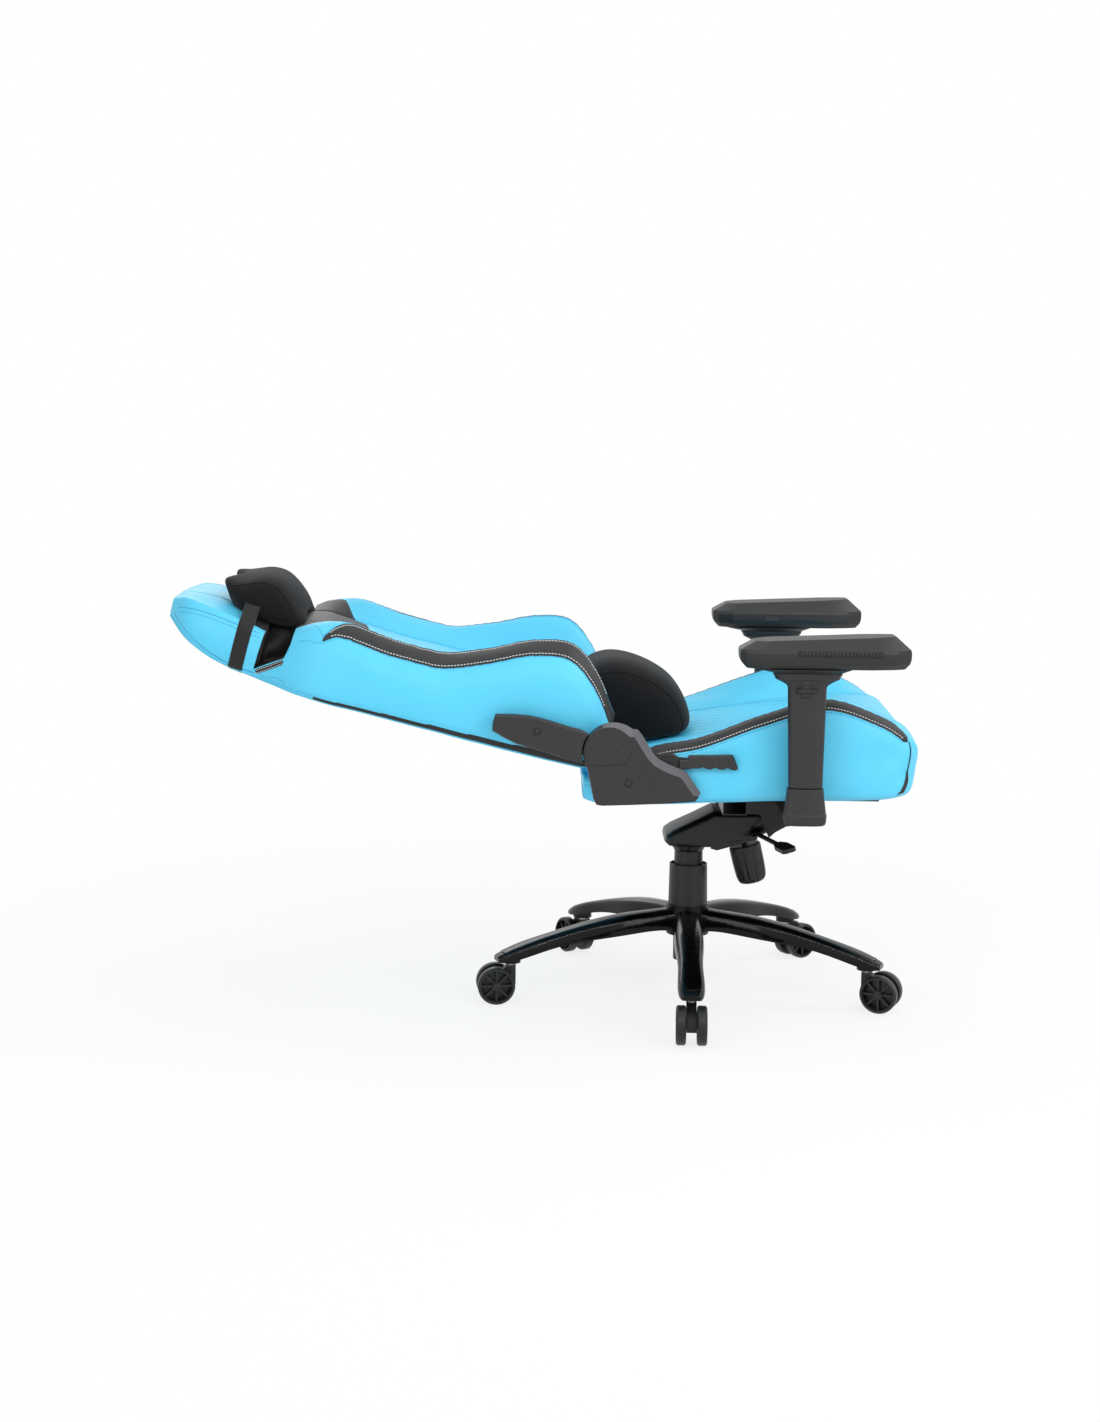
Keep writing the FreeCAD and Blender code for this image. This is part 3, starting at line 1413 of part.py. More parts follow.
def make_back_cushion():
    """Foam and cover as one hollow form: the frame lies in the space behind the foam."""
    shape = ruled_loft([back_ring(name) for name in BACK_STATIONS])
    gap = float(dim.soft_gap)
    radius, depth = float(dim.back_tube_radius), float(dim.back_tube_depth)
    side, front = float(dim.back_tube_offset) + radius + gap, float(dim.back_cavity_front)
    rear, low = depth - radius - gap, float(dim.back_tube_bottom) - gap
    path = back_tube_path()
    shoulder, yoke = path[1].y + radius + gap + 2, path[2].y + radius + gap + 2
    half_plan = [(side, low), (side, shoulder), (path[2].x, yoke)]
    cavity = prism_z(half_plan + [(-x, along) for x, along in reversed(half_plan)], rear, front)
    neck_half = path[2].x + radius + gap + 1
    head = float(dim.back_tube_head) + radius + 1
    cavity = cavity.fuse(box((-neck_half, shoulder - 20, rear), (neck_half, head - 60, front + 12)))
    cavity = cavity.fuse(box((-neck_half, head - 60, rear + 7), (neck_half, head, front + 14)))
    shape = shape.cut(cavity)
    sill = box((float(dim.harness_inner) - 4, float(dim.harness_bottom), float(dim.harness_sill)),
               (400.0, float(dim.harness_top), 200.0))
    for cutter in (harness_window(0.0), sill):
        shape = shape.cut(cutter).cut(mirrored(cutter))
    for along, out in back_stub_places():
        shape = shape.cut(Part.makeCylinder(float(dim.back_stub_radius) + gap, 700, V(-350, along, out), X_AXIS))
        lug = box((side - 24, along - 14 - gap, front - 1), (side - 12, along + 14 + gap, out + 10 + gap))
        shape = shape.cut(lug).cut(mirrored(lug))
    shaped("back_cushion", onto_back(shape))


def make_harness_bezels():
    """Moulded liners in the two harness openings."""
    gap, wall = 0.3, float(dim.harness_bezel_wall)
    outer = box((float(dim.harness_inner) + gap, float(dim.harness_bottom) + gap, -44.0),
                (float(dim.harness_outer) - gap, float(dim.harness_top) - gap, float(dim.harness_sill)))
    inner = box((float(dim.harness_inner) + wall, float(dim.harness_bottom) + wall, -60.0),
                (float(dim.harness_outer) - wall, float(dim.harness_top) - wall, 60.0))
    liner = onto_back(outer.cut(inner))
    shaped("harness_bezels", Part.makeCompound([liner, mirrored(liner)]))


def pillow_rings(profile, half, waist):
    """Rings of a pillow across the chair: the side profile shrinks towards both ends."""
    centre_y = sum(point[0] for point in profile) / len(profile)
    low_z = min(point[1] for point in profile)
    rings = []
    for share, scale in ((-1.0, 0.45), (-0.86, 0.86), (-0.5, 1.0), (0.0, waist), (0.5, 1.0), (0.86, 0.86),
                         (1.0, 0.45)):
        rings.append([V(half * share, centre_y + (y - centre_y) * scale, low_z + (z - low_z) * scale)
                      for y, z in profile])
    return rings


def make_neck_pillow():
    rear = float(dim.neck_pillow_rear)
    profile = [(548.0, rear + 4), (566.0, rear), (610.0, rear), (655.0, rear), (684.0, rear + 10), (704.0, 88.0),
               (684.0, 106.0), (650.0, 119.0), (606.0, 116.0), (566.0, 97.0)]
    half = float(dim.neck_pillow_half_width)
    shaped("neck_pillow", onto_back(ruled_loft(pillow_rings(profile, half, 0.94))))


def make_lumbar_pillow():
    profile = [(-133.0, 40.0), (-104.0, 26.0), (-60.0, 6.3), (-14.0, 16.0), (42.0, 50.0), (78.0, 74.0),
               (76.0, 104.0), (44.0, 128.0), (-10.0, 131.0), (-80.0, 110.0), (-124.0, 68.0)]
    half = float(dim.lumbar_pillow_half_width)
    shaped("lumbar_pillow", onto_back(ruled_loft(pillow_rings(profile, half, 1.0))))


def cushion_outline(along):
    """The backrest cushion's outline at the neck, between its neck and nape stations."""
    low, high = float(dim.back_neck_along), float(dim.back_nape_along)
    share = (along - low) / (high - low)
    return [(a.x + (b.x - a.x) * share, a.z + (b.z - a.z) * share)
            for a, b in zip(back_ring("neck"), back_ring("nape"))]


def strap_line(low, high):
    """The line that clears the cushion over the strap's whole width: it narrows and thickens upwards."""
    return [(near[0], near[1] if near[1] < 0 else max(near[1], far[1]))
            for near, far in zip(cushion_outline(low), cushion_outline(high))]


def make_neck_strap():
    """The elastic strap from behind the neck pillow's ends round the back of the head."""
    width, thick, gap = float(dim.strap_width), float(dim.strap_thickness), float(dim.soft_gap)
    low = float(dim.strap_along) - width / 2
    line = strap_line(low, low + width)
    loops = [inset(line, -gap - thick), inset(line, -gap)]
    solids = [polygon_face([V(x, low, out) for x, out in loop]).extrude(V(0, width, 0)) for loop in loops]
    strap = solids[0].cut(solids[1])
    end = float(dim.strap_end)
    strap = strap.cut(box((-end, low - 1, 0.0), (end, low + width + 1, 200.0)))
    tab = box((end, low, loops[1][6][1]), (end + 14, low + width, float(dim.neck_pillow_rear) - 0.3))
    shaped("neck_strap", onto_back(strap.fuse([tab, mirrored(tab)]).removeSplitter()))


# ---------------------------------------------------------------- armrests


def make_arm_brackets():
    brackets = []
    for side in (-1, 1):
        body = doc.addObject("PartDesign::Body", "arm_bracket")
        inner, middle = dim.arm_bracket_inner, dim.arm_offset
        half_post, thick = dim.arm_post_thickness / 2, dim.arm_bracket_thickness
        low = dim.seat_plate_top - thick
        bend = dim.seat_frame_half_width + 12
        step = dim.arm_bracket_step
        loop = [(inner, low), (bend, low), (bend + 14, low + step), (middle + half_post, low + step),
                (middle + half_post, dim.arm_post_top), (middle - half_post, dim.arm_post_top),
                (middle - half_post, low + step + thick), (bend + 12, low + step + thick),
                (bend - 2, low + thick), (inner, low + thick)]
        if side < 0:
            loop = [(-across, up) for across, up in loop]
        pad(body, "XZ_Plane", [loop], -dim.arm_back - dim.arm_bracket_width / 2, dim.arm_bracket_width)
        brackets.append(body)
    group("arm_brackets", brackets)


def arm_block(side, levels):
    """A tapering block with rounded corners around one armrest post, through its levels."""
    rings = []
    middle, back = side * float(dim.arm_offset), float(dim.arm_back)
    corner = float(dim.arm_corner)
    for height, length, depth in levels:
        ring = []
        for sx, sy in ((1, 1), (-1, 1), (-1, -1), (1, -1)):
            steps = [(0.0, corner), (0.29 * corner, 0.29 * corner), (corner, 0.0)]
            if sx * sy < 0:
                steps.reverse()
            ring += [V(middle + sx * (depth / 2 - in_x), back + sy * (length / 2 - in_y), height)
                     for in_x, in_y in steps]
        rings.append(ring)
    return ruled_loft(rings)


def arm_bore(side, low, high):
    """The clear space that the post takes inside the socket and the sleeve."""
    gap = float(dim.slide_gap)
    half_x = float(dim.arm_post_thickness) / 2 + gap
    half_y = float(dim.arm_bracket_width) / 2 + gap
    middle, back = side * float(dim.arm_offset), float(dim.arm_back)
    return box((middle - half_x, back - half_y, low), (middle + half_x, back + half_y, high))


def make_arm_socket(name, side):
    back = float(dim.arm_back)
    bottom, top = float(dim.arm_socket_bottom), float(dim.arm_socket_top)
    bulge, waist, depth = (float(dim.arm_socket_bulge), float(dim.arm_socket_waist),
                           float(dim.arm_socket_depth))
    shape = arm_block(side, [(bottom, bulge - 7, depth - 2), (bottom + 9, bulge, depth),
                             (bottom + 30, waist + 3, depth - 3), (top, waist, depth - 6)])
    low = float(dim.seat_plate_top - dim.arm_bracket_thickness + dim.arm_bracket_step)
    gap = float(dim.slide_gap)
    slot_high = low + float(dim.arm_bracket_thickness) + gap
    half = float(dim.arm_bracket_width) / 2 + gap
    inner_x = side * (float(dim.arm_offset) - 60)
    slot_x = sorted((inner_x, side * float(dim.arm_offset)))
    slot = box((slot_x[0], back - half, low - gap), (slot_x[1], back + half, slot_high))
    shape = shape.cut(arm_bore(side, low - gap, top + 20)).cut(slot)
    shaped("arm_socket_" + name, shape)


def make_arm_sleeve(name, side):
    """The height-adjusting sleeve with the flared head that carries the pad's slides."""
    bottom, neck, top = float(dim.arm_sleeve_bottom), float(dim.arm_sleeve_top), float(dim.arm_head_top)
    foot = (bottom, float(dim.arm_sleeve_foot_length), float(dim.arm_sleeve_foot_depth))
    head = (neck, float(dim.arm_sleeve_head_length), float(dim.arm_sleeve_head_depth))
    wide = (neck + (top - neck) * 0.72, float(dim.arm_head_length), float(dim.arm_head_depth))
    shape = arm_block(side, [foot, head, wide, (top, wide[1] + 4, wide[2] + 2)])
    shape = shape.cut(arm_bore(side, bottom - 5, float(dim.arm_post_top) + 6))
    shape = shape.cut(height_button_space(side, float(dim.height_button_travel) + 1.0, 0.3))
    shaped("arm_sleeve_" + name, shape)


def sleeve_face(height):
    """How far the sleeve's outer face stands from its axis at a height."""
    low, high = float(dim.arm_sleeve_bottom), float(dim.arm_sleeve_top)
    foot, head = float(dim.arm_sleeve_foot_depth) / 2, float(dim.arm_sleeve_head_depth) / 2
    return foot + (head - foot) * (height - low) / (high - low)


def height_button_space(side, depth, grow):
    """The T-shaped button: a stem window above a wider press bar, set into the sleeve's outer face."""
    wide, top, bottom = (float(dim.height_button_width), float(dim.height_button_top),
                         float(dim.height_button_bottom))
    back = float(dim.arm_back) + 4
    middle = float(dim.arm_offset)
    inner_x = middle + sleeve_face(bottom) - 2.5 - depth
    outer_x = middle + sleeve_face(top) + (3.0 if grow == 0 else 30.0)
    bar_top = bottom + 10
    bar = box((inner_x, back - wide / 2 - grow, bottom - grow), (outer_x, back + wide / 2 + grow, bar_top + grow))
    stem = box((inner_x, back - wide / 4 - grow, bar_top - 1),
               (outer_x - (2.4 if grow == 0 else 0), back + wide / 4 + grow, top - 4 + grow))
    shape = bar.fuse(stem).removeSplitter()
    return shape if side > 0 else mirrored(shape)


def make_height_button(name, side):
    shaped("height_button_" + name, height_button_space(side, 0.0, 0))


def make_cross_slide(name, side):
    body = new_body("cross_slide_" + name)
    middle = side * dim.arm_offset
    x, y = dim.cross_slide_half_depth, dim.cross_slide_half_length
    back = dim.arm_back
    loop = [(middle - x, back - y), (middle + x, back - y), (middle + x, back + y), (middle - x, back + y)]
    pad(body, "XY_Plane", [loop], dim.arm_head_top + 0.3, dim.cross_slide_thickness)
    dress(body, "Fillet", as_size(8), vertical)
    return body


def turntable_low():
    return dim.arm_head_top + 0.3 + dim.cross_slide_thickness + 0.3


def make_turntable(name, side):
    body = new_body("turntable_" + name)
    centre = {"at": (side * dim.arm_offset, dim.arm_back), "radius": dim.turntable_radius}
    pad(body, "XY_Plane", [centre], turntable_low(), dim.turntable_thickness)
    return body


def pad_side_profile():
    front, rear, bottom = dim.pad_front, dim.pad_rear, dim.pad_bottom
    return [(rear - 4, bottom + 4), (rear, bottom + 16), (rear - 1, bottom + 26), (rear - 20, dim.pad_top_rear),
            (front + 36, dim.pad_top_front), (front + 6, bottom + 33), (front, bottom + 14),
            (front + 16, bottom + 5), (front + 96, bottom), (rear - 22, bottom)]


def pad_plan(side):
    """The pad from above: bowed long sides and clipped corners."""
    front, rear, half = float(dim.pad_front), float(dim.pad_rear), float(dim.pad_half_width)
    middle = side * float(dim.arm_offset)
    right = [(0.6, rear), (0.86, rear - 9), (0.98, rear - 34), (1.0, rear - 120), (0.97, front + 60),
             (0.88, front + 22), (0.6, front)]
    loop = right + [(-share, y) for share, y in reversed(right)]
    return [(middle + half * share, y) for share, y in loop]


def make_arm_pad(name, side):
    middle, half = side * float(dim.arm_offset), float(dim.pad_half_width)
    profile = prism_x(pad_side_profile(), middle - half - 5, middle + half + 5)
    plan = prism_z(pad_plan(side), float(dim.pad_bottom) - 5, float(dim.pad_top_front) + 5)
    bottom, top = float(dim.pad_bottom), float(dim.pad_top_front)
    section = [(-0.82, bottom - 1), (0.82, bottom - 1), (1.0, bottom + 12), (1.0, bottom + 26),
               (0.74, top + 1), (-0.74, top + 1), (-1.0, bottom + 26), (-1.0, bottom + 12)]
    face = polygon_face([V(middle + half * share, float(dim.pad_front) - 5, z) for share, z in section])
    across = face.extrude(V(0, float(dim.pad_rear - dim.pad_front) + 10, 0))
    shape = profile.common(plan).common(across)
    travel, radius = float(dim.pad_travel) + 1, float(dim.turntable_radius) + float(dim.slide_gap)
    back = float(dim.arm_back)
    roof = float(turntable_low() + dim.turntable_thickness) + 0.3
    recess = box((middle - radius, back - radius - travel, bottom - 5), (middle + radius, back + radius + travel, roof))
    shape = shape.cut(recess).cut(pad_button_box(side, 1.0, 0.3))
    shaped("arm_pad_" + name, shape.removeSplitter())


def pad_button_box(side, depth, grow):
    """The slide lock's button in the pad's inner side."""
    long, tall = float(dim.pad_button_length), float(dim.pad_button_height)
    travel = float(dim.pad_button_travel)
    face = float(dim.arm_offset) - float(dim.pad_half_width)
    back, height = float(dim.arm_back) + 4, float(dim.pad_bottom) + 19
    low_x = face - (2.0 if grow == 0 else 20.0)
    high_x = face + 4 + (travel if grow else 0)
    shape = box((low_x, back - long / 2 - grow, height - tall / 2 - grow),
                (high_x, back + long / 2 + grow, height + tall / 2 + grow))
    return shape if side > 0 else mirrored(shape)


def make_pad_button(name, side):
    shaped("pad_button_" + name, pad_button_box(side, 0.0, 0))


# ---------------------------------------------------------------- assembly

make_star_base()
make_lift_tube()
make_sleeves()
make_caster_stems()
for caster in CASTERS:
    make_fork(caster)
    make_wheels(caster)
make_lift_rod()
make_lift_cylinder()
make_housing()
make_tilt_pin()
make_tension_spring()
make_knob()
make_side_lever("height_lever", -1, float(dim.lever_reach))
make_side_lever("lock_lever", 1, float(dim.lock_lever_reach))
make_seat_plate()
make_seat_bolts()
make_seat_frame()
make_seat_webbing()
make_seat_cushion()
make_recliner_plates()
make_recliner_pins()
make_back_arm_plates()
for side_name, side_sign in SIDES.items():
    make_recliner_cover(side_name, side_sign)
    make_back_arm_cover(side_name, side_sign)
make_recline_lever()
make_recline_grip()
make_back_frame()
make_back_webbing()
make_back_cushion()
make_harness_bezels()
make_neck_pillow()
make_neck_strap()
make_lumbar_pillow()
make_arm_brackets()
for side_name, side_sign in SIDES.items():
    make_arm_socket(side_name, side_sign)
    make_arm_sleeve(side_name, side_sign)
    make_height_button(side_name, side_sign)
    make_cross_slide(side_name, side_sign)
    make_turntable(side_name, side_sign)
    make_arm_pad(side_name, side_sign)
    make_pad_button(side_name, side_sign)

doc.recompute()

for item in doc.Objects:
    if "Invalid" in item.State or "Error" in item.State:
        raise ValueError("%s failed to recompute: %s" % (item.Label, item.State))
for node in nodes:
    if node.Shape.isNull() or not node.Shape.isValid():
        raise ValueError("%s has no valid shape" % node.Label)
    if node.Shape.Volume <= 0 or not node.Shape.Solids:
        raise ValueError("%s has no solid" % node.Label)

os.makedirs("parts", exist_ok=True)
for node in nodes:
    node.Shape.exportStep("parts/%s.step" % node.Label)
    print("%-24s %2d solids %9.1f cm3" % (node.Label, len(node.Shape.Solids), node.Shape.Volume / 1000))
print(len(nodes), "nodes")
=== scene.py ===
# %% [markdown]
# A gaming chair, dressed for its portrait
#
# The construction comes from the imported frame: every steel part, hinge and hard cover has its real
# size there. This lesson adds what the eye sees: sewn covers, stitching, pillows, moulded plastic and paint.
# Everything is in metres, in the frame's own axes: +Z up, the seat's front towards -Y.

# %% Load the frame
import json
import math

import bmesh
import bpy
import numpy as np
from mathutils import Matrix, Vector, noise
from mathutils.bvhtree import BVHTree


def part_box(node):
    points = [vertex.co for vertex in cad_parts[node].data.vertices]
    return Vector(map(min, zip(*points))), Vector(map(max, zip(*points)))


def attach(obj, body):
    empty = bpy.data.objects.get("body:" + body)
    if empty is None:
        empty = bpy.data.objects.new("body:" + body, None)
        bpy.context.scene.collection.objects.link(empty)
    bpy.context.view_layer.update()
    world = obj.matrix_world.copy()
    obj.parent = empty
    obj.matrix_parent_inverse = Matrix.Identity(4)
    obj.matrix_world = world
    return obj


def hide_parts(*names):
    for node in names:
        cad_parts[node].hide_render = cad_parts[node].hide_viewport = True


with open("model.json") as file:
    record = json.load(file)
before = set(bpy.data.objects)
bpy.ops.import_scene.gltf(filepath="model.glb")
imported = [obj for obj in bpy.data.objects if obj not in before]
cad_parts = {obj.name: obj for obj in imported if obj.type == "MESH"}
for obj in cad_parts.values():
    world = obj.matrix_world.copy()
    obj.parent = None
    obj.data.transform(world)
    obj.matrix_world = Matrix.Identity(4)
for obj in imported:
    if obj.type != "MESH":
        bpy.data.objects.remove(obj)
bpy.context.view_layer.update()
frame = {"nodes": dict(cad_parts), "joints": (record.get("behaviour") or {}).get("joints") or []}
MM = 0.001
SIDES = {"right": -1, "left": 1}

# %% [markdown]
# Colours are written as a paint maker writes them, in sRGB hex. Blender's sockets want linear light,
# so one function turns them over. A second one adds a node: every material below is built from those two.


# %% Colours and nodes
def linear(hex_colour):
    """A linear RGBA colour from an sRGB hex value."""
    parts = [int(hex_colour[at:at + 2], 16) / 255 for at in (1, 3, 5)]
    return [p / 12.92 if p <= 0.04045 else ((p + 0.055) / 1.055) ** 2.4 for p in parts] + [1.0]


def add_node(tree, kind, inputs=None, **settings):
    """One node with its settings; an input that is another node's socket becomes a link."""
    made = tree.nodes.new(kind)
    for name, value in settings.items():
        setattr(made, name, value)
    for key, value in (inputs or {}).items():
        if isinstance(value, bpy.types.NodeSocket):
            tree.links.new(value, made.inputs[key])
        else:
            made.inputs[key].default_value = value
    return made


def start_material(name, colour, roughness, **sockets):
    """A Principled surface with its plain values, ready for patterns."""
    material = bpy.data.materials.new(name)
    material.use_nodes = True
    tree = material.node_tree
    shader = tree.nodes["Principled BSDF"]
    shader.inputs["Base Color"].default_value = linear(colour)
    shader.inputs["Roughness"].default_value = roughness
    for key, value in sockets.items():
        shader.inputs[key.replace("_", " ")].default_value = value
    place = add_node(tree, "ShaderNodeTexCoord")
    return material, tree, shader, place.outputs["Object"]


def raise_surface(tree, shader, height, depth_mm, strength=1.0):
    """Turns a height pattern into relief of a real depth."""
    bump = add_node(tree, "ShaderNodeBump", {"Height": height, "Distance": depth_mm * MM, "Strength": strength})
    tree.links.new(bump.outputs["Normal"], shader.inputs["Normal"])


def vary(tree, shader, socket, pattern, low, high):
    """Lets a pattern move one of the shader's values between two limits."""
    ends = add_node(tree, "ShaderNodeMapRange", {"Value": pattern, "To Min": low, "To Max": high})
    tree.links.new(ends.outputs["Result"], shader.inputs[socket])


def tint(tree, shader, pattern, dark, light):
    """Colour variation between two hex values."""
    blend = add_node(tree, "ShaderNodeMix", {"Factor": pattern}, data_type="RGBA")
    blend.inputs[6].default_value = linear(dark)
    blend.inputs[7].default_value = linear(light)
    tree.links.new(blend.outputs[2], shader.inputs["Base Color"])


# %% [markdown]
# The covers are polyurethane leather: a textile coated with a pigmented skin, embossed by a grained roller.
# The grain is small closed cells about a millimetre across, drawn here at 1.4 mm so that it shows.
# The skin is smooth between the creases, so it has a soft broad highlight and hardly any sheen.


# %% Embossed polyurethane leather
def embossed_leather(name, dark, light, roughness):
    material, tree, shader, place = start_material(name, light, roughness, Specular_IOR_Level=0.4,
                                                   Coat_Weight=0.06, Coat_Roughness=0.4)
    cells = add_node(tree, "ShaderNodeTexVoronoi", {"Vector": place, "Scale": 1 / (1.4 * MM)},
                     feature="DISTANCE_TO_EDGE")
    creases = add_node(tree, "ShaderNodeMapRange", {"Value": cells.outputs["Distance"], "From Max": 0.22})
    clouds = add_node(tree, "ShaderNodeTexNoise", {"Vector": place, "Scale": 1 / (90 * MM), "Detail": 3.0})
    tint(tree, shader, clouds.outputs["Fac"], dark, light)
    vary(tree, shader, "Roughness", clouds.outputs["Fac"], roughness - 0.05, roughness + 0.07)
    raise_surface(tree, shader, creases.outputs["Result"], 0.12, 0.35)
    return material


blue_leather = embossed_leather("sky_blue_polyurethane_leather", "#52C9F0", "#60D4F8", 0.44)
black_leather = embossed_leather("black_polyurethane_leather", "#161719", "#1D1E20", 0.52)

# %% [markdown]
# The pillows are velour: cut pile, half a millimetre deep. Pile swallows light that falls straight on it and
# catches light that skims it, which is what the sheen lobe does. The nap lies in faint patches.


# %% Velour, webbing and thread
def knitted_velour(name, dark, light):
    material, tree, shader, place = start_material(name, light, 0.95, Specular_IOR_Level=0.15,
                                                   Sheen_Weight=0.1, Sheen_Roughness=0.5)
    nap = add_node(tree, "ShaderNodeTexNoise", {"Vector": place, "Scale": 1 / (30 * MM), "Detail": 4.0})
    pile = add_node(tree, "ShaderNodeTexNoise", {"Vector": place, "Scale": 1 / (0.9 * MM), "Detail": 2.0})
    tint(tree, shader, nap.outputs["Fac"], dark, light)
    raise_surface(tree, shader, pile.outputs["Fac"], 0.5, 0.5)
    return material


def woven_elastic(name, colour, thread_mm):
    """A narrow woven band: crosswise ribs of one thread's spacing."""
    material, tree, shader, place = start_material(name, colour, 0.85, Sheen_Weight=0.15)
    ribs = add_node(tree, "ShaderNodeTexWave", {"Vector": place, "Scale": 1 / (thread_mm * MM * 20)},
                    bands_direction="DIAGONAL")
    raise_surface(tree, shader, ribs.outputs["Fac"], 0.3, 0.5)
    return material


def spun_thread(name, colour):
    """Bonded polyester sewing thread, with the twist that breaks up its highlight."""
    material, tree, shader, place = start_material(name, colour, 0.6, Sheen_Weight=0.2)
    twist = add_node(tree, "ShaderNodeTexNoise", {"Vector": place, "Scale": 1 / (0.6 * MM)})
    raise_surface(tree, shader, twist.outputs["Fac"], 0.1, 0.4)
    return material


black_velour = knitted_velour("black_cut_pile_velour", "#0D0E10", "#17181A")
black_elastic = woven_elastic("black_woven_elastic", "#0E0F10", 1.6)
white_thread = spun_thread("white_polyester_thread", "#D9DCDD")
blue_thread = spun_thread("blue_polyester_thread", "#2488BE")
# The quilting thread is real, but its darker blue is painted shade: it draws the shadow in the valleys between the
# seat's rolls.
quilting_thread_painted_shade = spun_thread("blue_thread_painted_valley_shade", "#1B6C99")

# %% [markdown]
# Hard parts are injection-moulded plastic, painted metal or bare steel. A mould's spark-eroded texture leaves
# a fine even roughness. Powder coat and nylon are satin. The base is die-cast and lacquered: its gloss comes
# from a clear coat over black, with the faint ripple that sprayed lacquer has.


# %% Moulded, coated and bare hard finishes
def moulded_plastic(name, colour, worn, roughness, grit_mm):
    """Plastic from a textured mould; worn is the slightly lighter tone of handled patches."""
    material, tree, shader, place = start_material(name, colour, roughness, Specular_IOR_Level=0.4)
    grit = add_node(tree, "ShaderNodeTexNoise", {"Vector": place, "Scale": 1 / (grit_mm * MM), "Detail": 3.0})
    wear = add_node(tree, "ShaderNodeTexNoise", {"Vector": place, "Scale": 1 / (60 * MM), "Detail": 2.0})
    tint(tree, shader, wear.outputs["Fac"], colour, worn)
    vary(tree, shader, "Roughness", grit.outputs["Fac"], roughness - 0.08, roughness + 0.08)
    raise_surface(tree, shader, grit.outputs["Fac"], 0.08, 0.4)
    return material


def lacquered_metal(name, colour, coat_roughness, ripple):
    material, tree, shader, place = start_material(name, colour, 0.25, Specular_IOR_Level=0.06,
                                                   Coat_Weight=0.3, Coat_Roughness=coat_roughness)
    waves = add_node(tree, "ShaderNodeTexNoise", {"Vector": place, "Scale": 1 / (7 * MM), "Detail": 1.0})
    specks = add_node(tree, "ShaderNodeTexNoise", {"Vector": place, "Scale": 1 / (40 * MM), "Detail": 3.0})
    vary(tree, shader, "Roughness", specks.outputs["Fac"], 0.2, 0.34)
    raise_surface(tree, shader, waves.outputs["Fac"], 0.05, ripple)
    return material


def bare_steel(name, colour, roughness):
    material, tree, shader, place = start_material(name, colour, roughness, Metallic=1.0)
    scuffs = add_node(tree, "ShaderNodeTexNoise", {"Vector": place, "Scale": 1 / (2.5 * MM), "Detail": 5.0})
    vary(tree, shader, "Roughness", scuffs.outputs["Fac"], roughness - 0.1, roughness + 0.15)
    return material


grey_plastic = moulded_plastic("dark_grey_moulded_abs", "#232324", "#2A2A2B", 0.46, 0.8)
# The lighter grey below is a painted highlight, not another plastic: it is worn by the fin covers' upward bevel faces.
bevel_highlight_plastic = moulded_plastic("dark_grey_abs_painted_bevel_highlight", "#5C5C60", "#636367", 0.3, 1.2)
pad_skin = moulded_plastic("dark_grey_moulded_urethane", "#1E1E1F", "#242425", 0.46, 1.0)
black_plastic = moulded_plastic("black_moulded_polypropylene", "#101011", "#161617", 0.42, 0.9)
nylon = moulded_plastic("black_moulded_nylon", "#111213", "#18191A", 0.42, 0.8)
powder_coat = moulded_plastic("black_powder_coated_steel", "#060607", "#0B0B0C", 0.36, 0.7)
lacquer = lacquered_metal("black_lacquered_die_cast_aluminium", "#040405", 0.05, 0.08)
zinc_steel = bare_steel("zinc_plated_steel", "#B9BCC0", 0.35)
oiled_steel = bare_steel("oiled_spring_steel", "#55585C", 0.3)
webbing = woven_elastic("black_woven_webbing", "#141415", 2.5)
print("materials", len(bpy.data.materials))

# %% [markdown]
# The seat and the back are moulded foam under sewn covers. Their shape changes slowly along the chair, so
# a good way to draw them is by stations: a few cross-sections, and smooth curves through them.
# Columns of points then run along the seams, so that a colour always ends exactly on a seam.


# %% Smooth curves through stations
def through(knots, values, wanted, tight=True):
    """Rows of values at uneven knots, read smoothly at other places; tight curves never overshoot a knot."""
    knots, values, wanted = (np.asarray(each, float) for each in (knots, values, wanted))
    slopes = np.gradient(values, knots, axis=0)
    if tight:
        steep = np.diff(values, axis=0) / np.diff(knots).reshape((-1,) + (1,) * (values.ndim - 1))
        before, after = np.concatenate([steep[:1], steep]), np.concatenate([steep, steep[-1:]])
        limit = 2 * np.minimum(abs(before), abs(after)) * (before * after > 0)
        slopes = np.clip(slopes, -limit, limit)
    at = np.clip(np.searchsorted(knots, wanted, side="right") - 1, 0, len(knots) - 2)
    tall = (-1,) + (1,) * (values.ndim - 1)
    gap = (knots[at + 1] - knots[at]).reshape(tall)
    share = ((wanted - knots[at]) / (knots[at + 1] - knots[at])).reshape(tall)
    start = (1 + 2 * share) * (1 - share) ** 2 * values[at] + share * (1 - share) ** 2 * gap * slopes[at]
    end = share ** 2 * (3 - 2 * share) * values[at + 1] + share ** 2 * (share - 1) * gap * slopes[at + 1]
    return start + end


def rounded_line(corners, steps=10, closed=False):
    """A smooth line through 2-D points; its knots are as far apart as the root of each chord."""
    points = np.asarray(corners, float)
    if closed:
        points = np.vstack([points[-3:], points, points[:3]])
    chords = np.sqrt(np.linalg.norm(np.diff(points, axis=0), axis=1)) + 1e-6
    knots = np.concatenate([[0.0], np.cumsum(chords)])
    ends = (3, len(points) - 3) if closed else (0, len(points) - 1)
    wanted = np.concatenate([np.linspace(knots[k], knots[k + 1], steps, endpoint=False)
                             for k in range(*ends)] + ([] if closed else [[knots[-1]]]))
    return through(knots, points, wanted, tight=False)


# %% [markdown]
# A ring is one cross-section of a cover. Stops are the places where pieces of leather meet; between two
# stops the ring gets an even number of steps. A sewn stop gets a close pair of columns beside it, because
# a seam is a narrow valley and needs points on both banks.


# %% Columns on a ring
LIP = 2.4


def reach_along(points):
    """How far along a line each of its points lies."""
    return np.concatenate([[0.0], np.cumsum(np.linalg.norm(np.diff(points, axis=0), axis=1))])


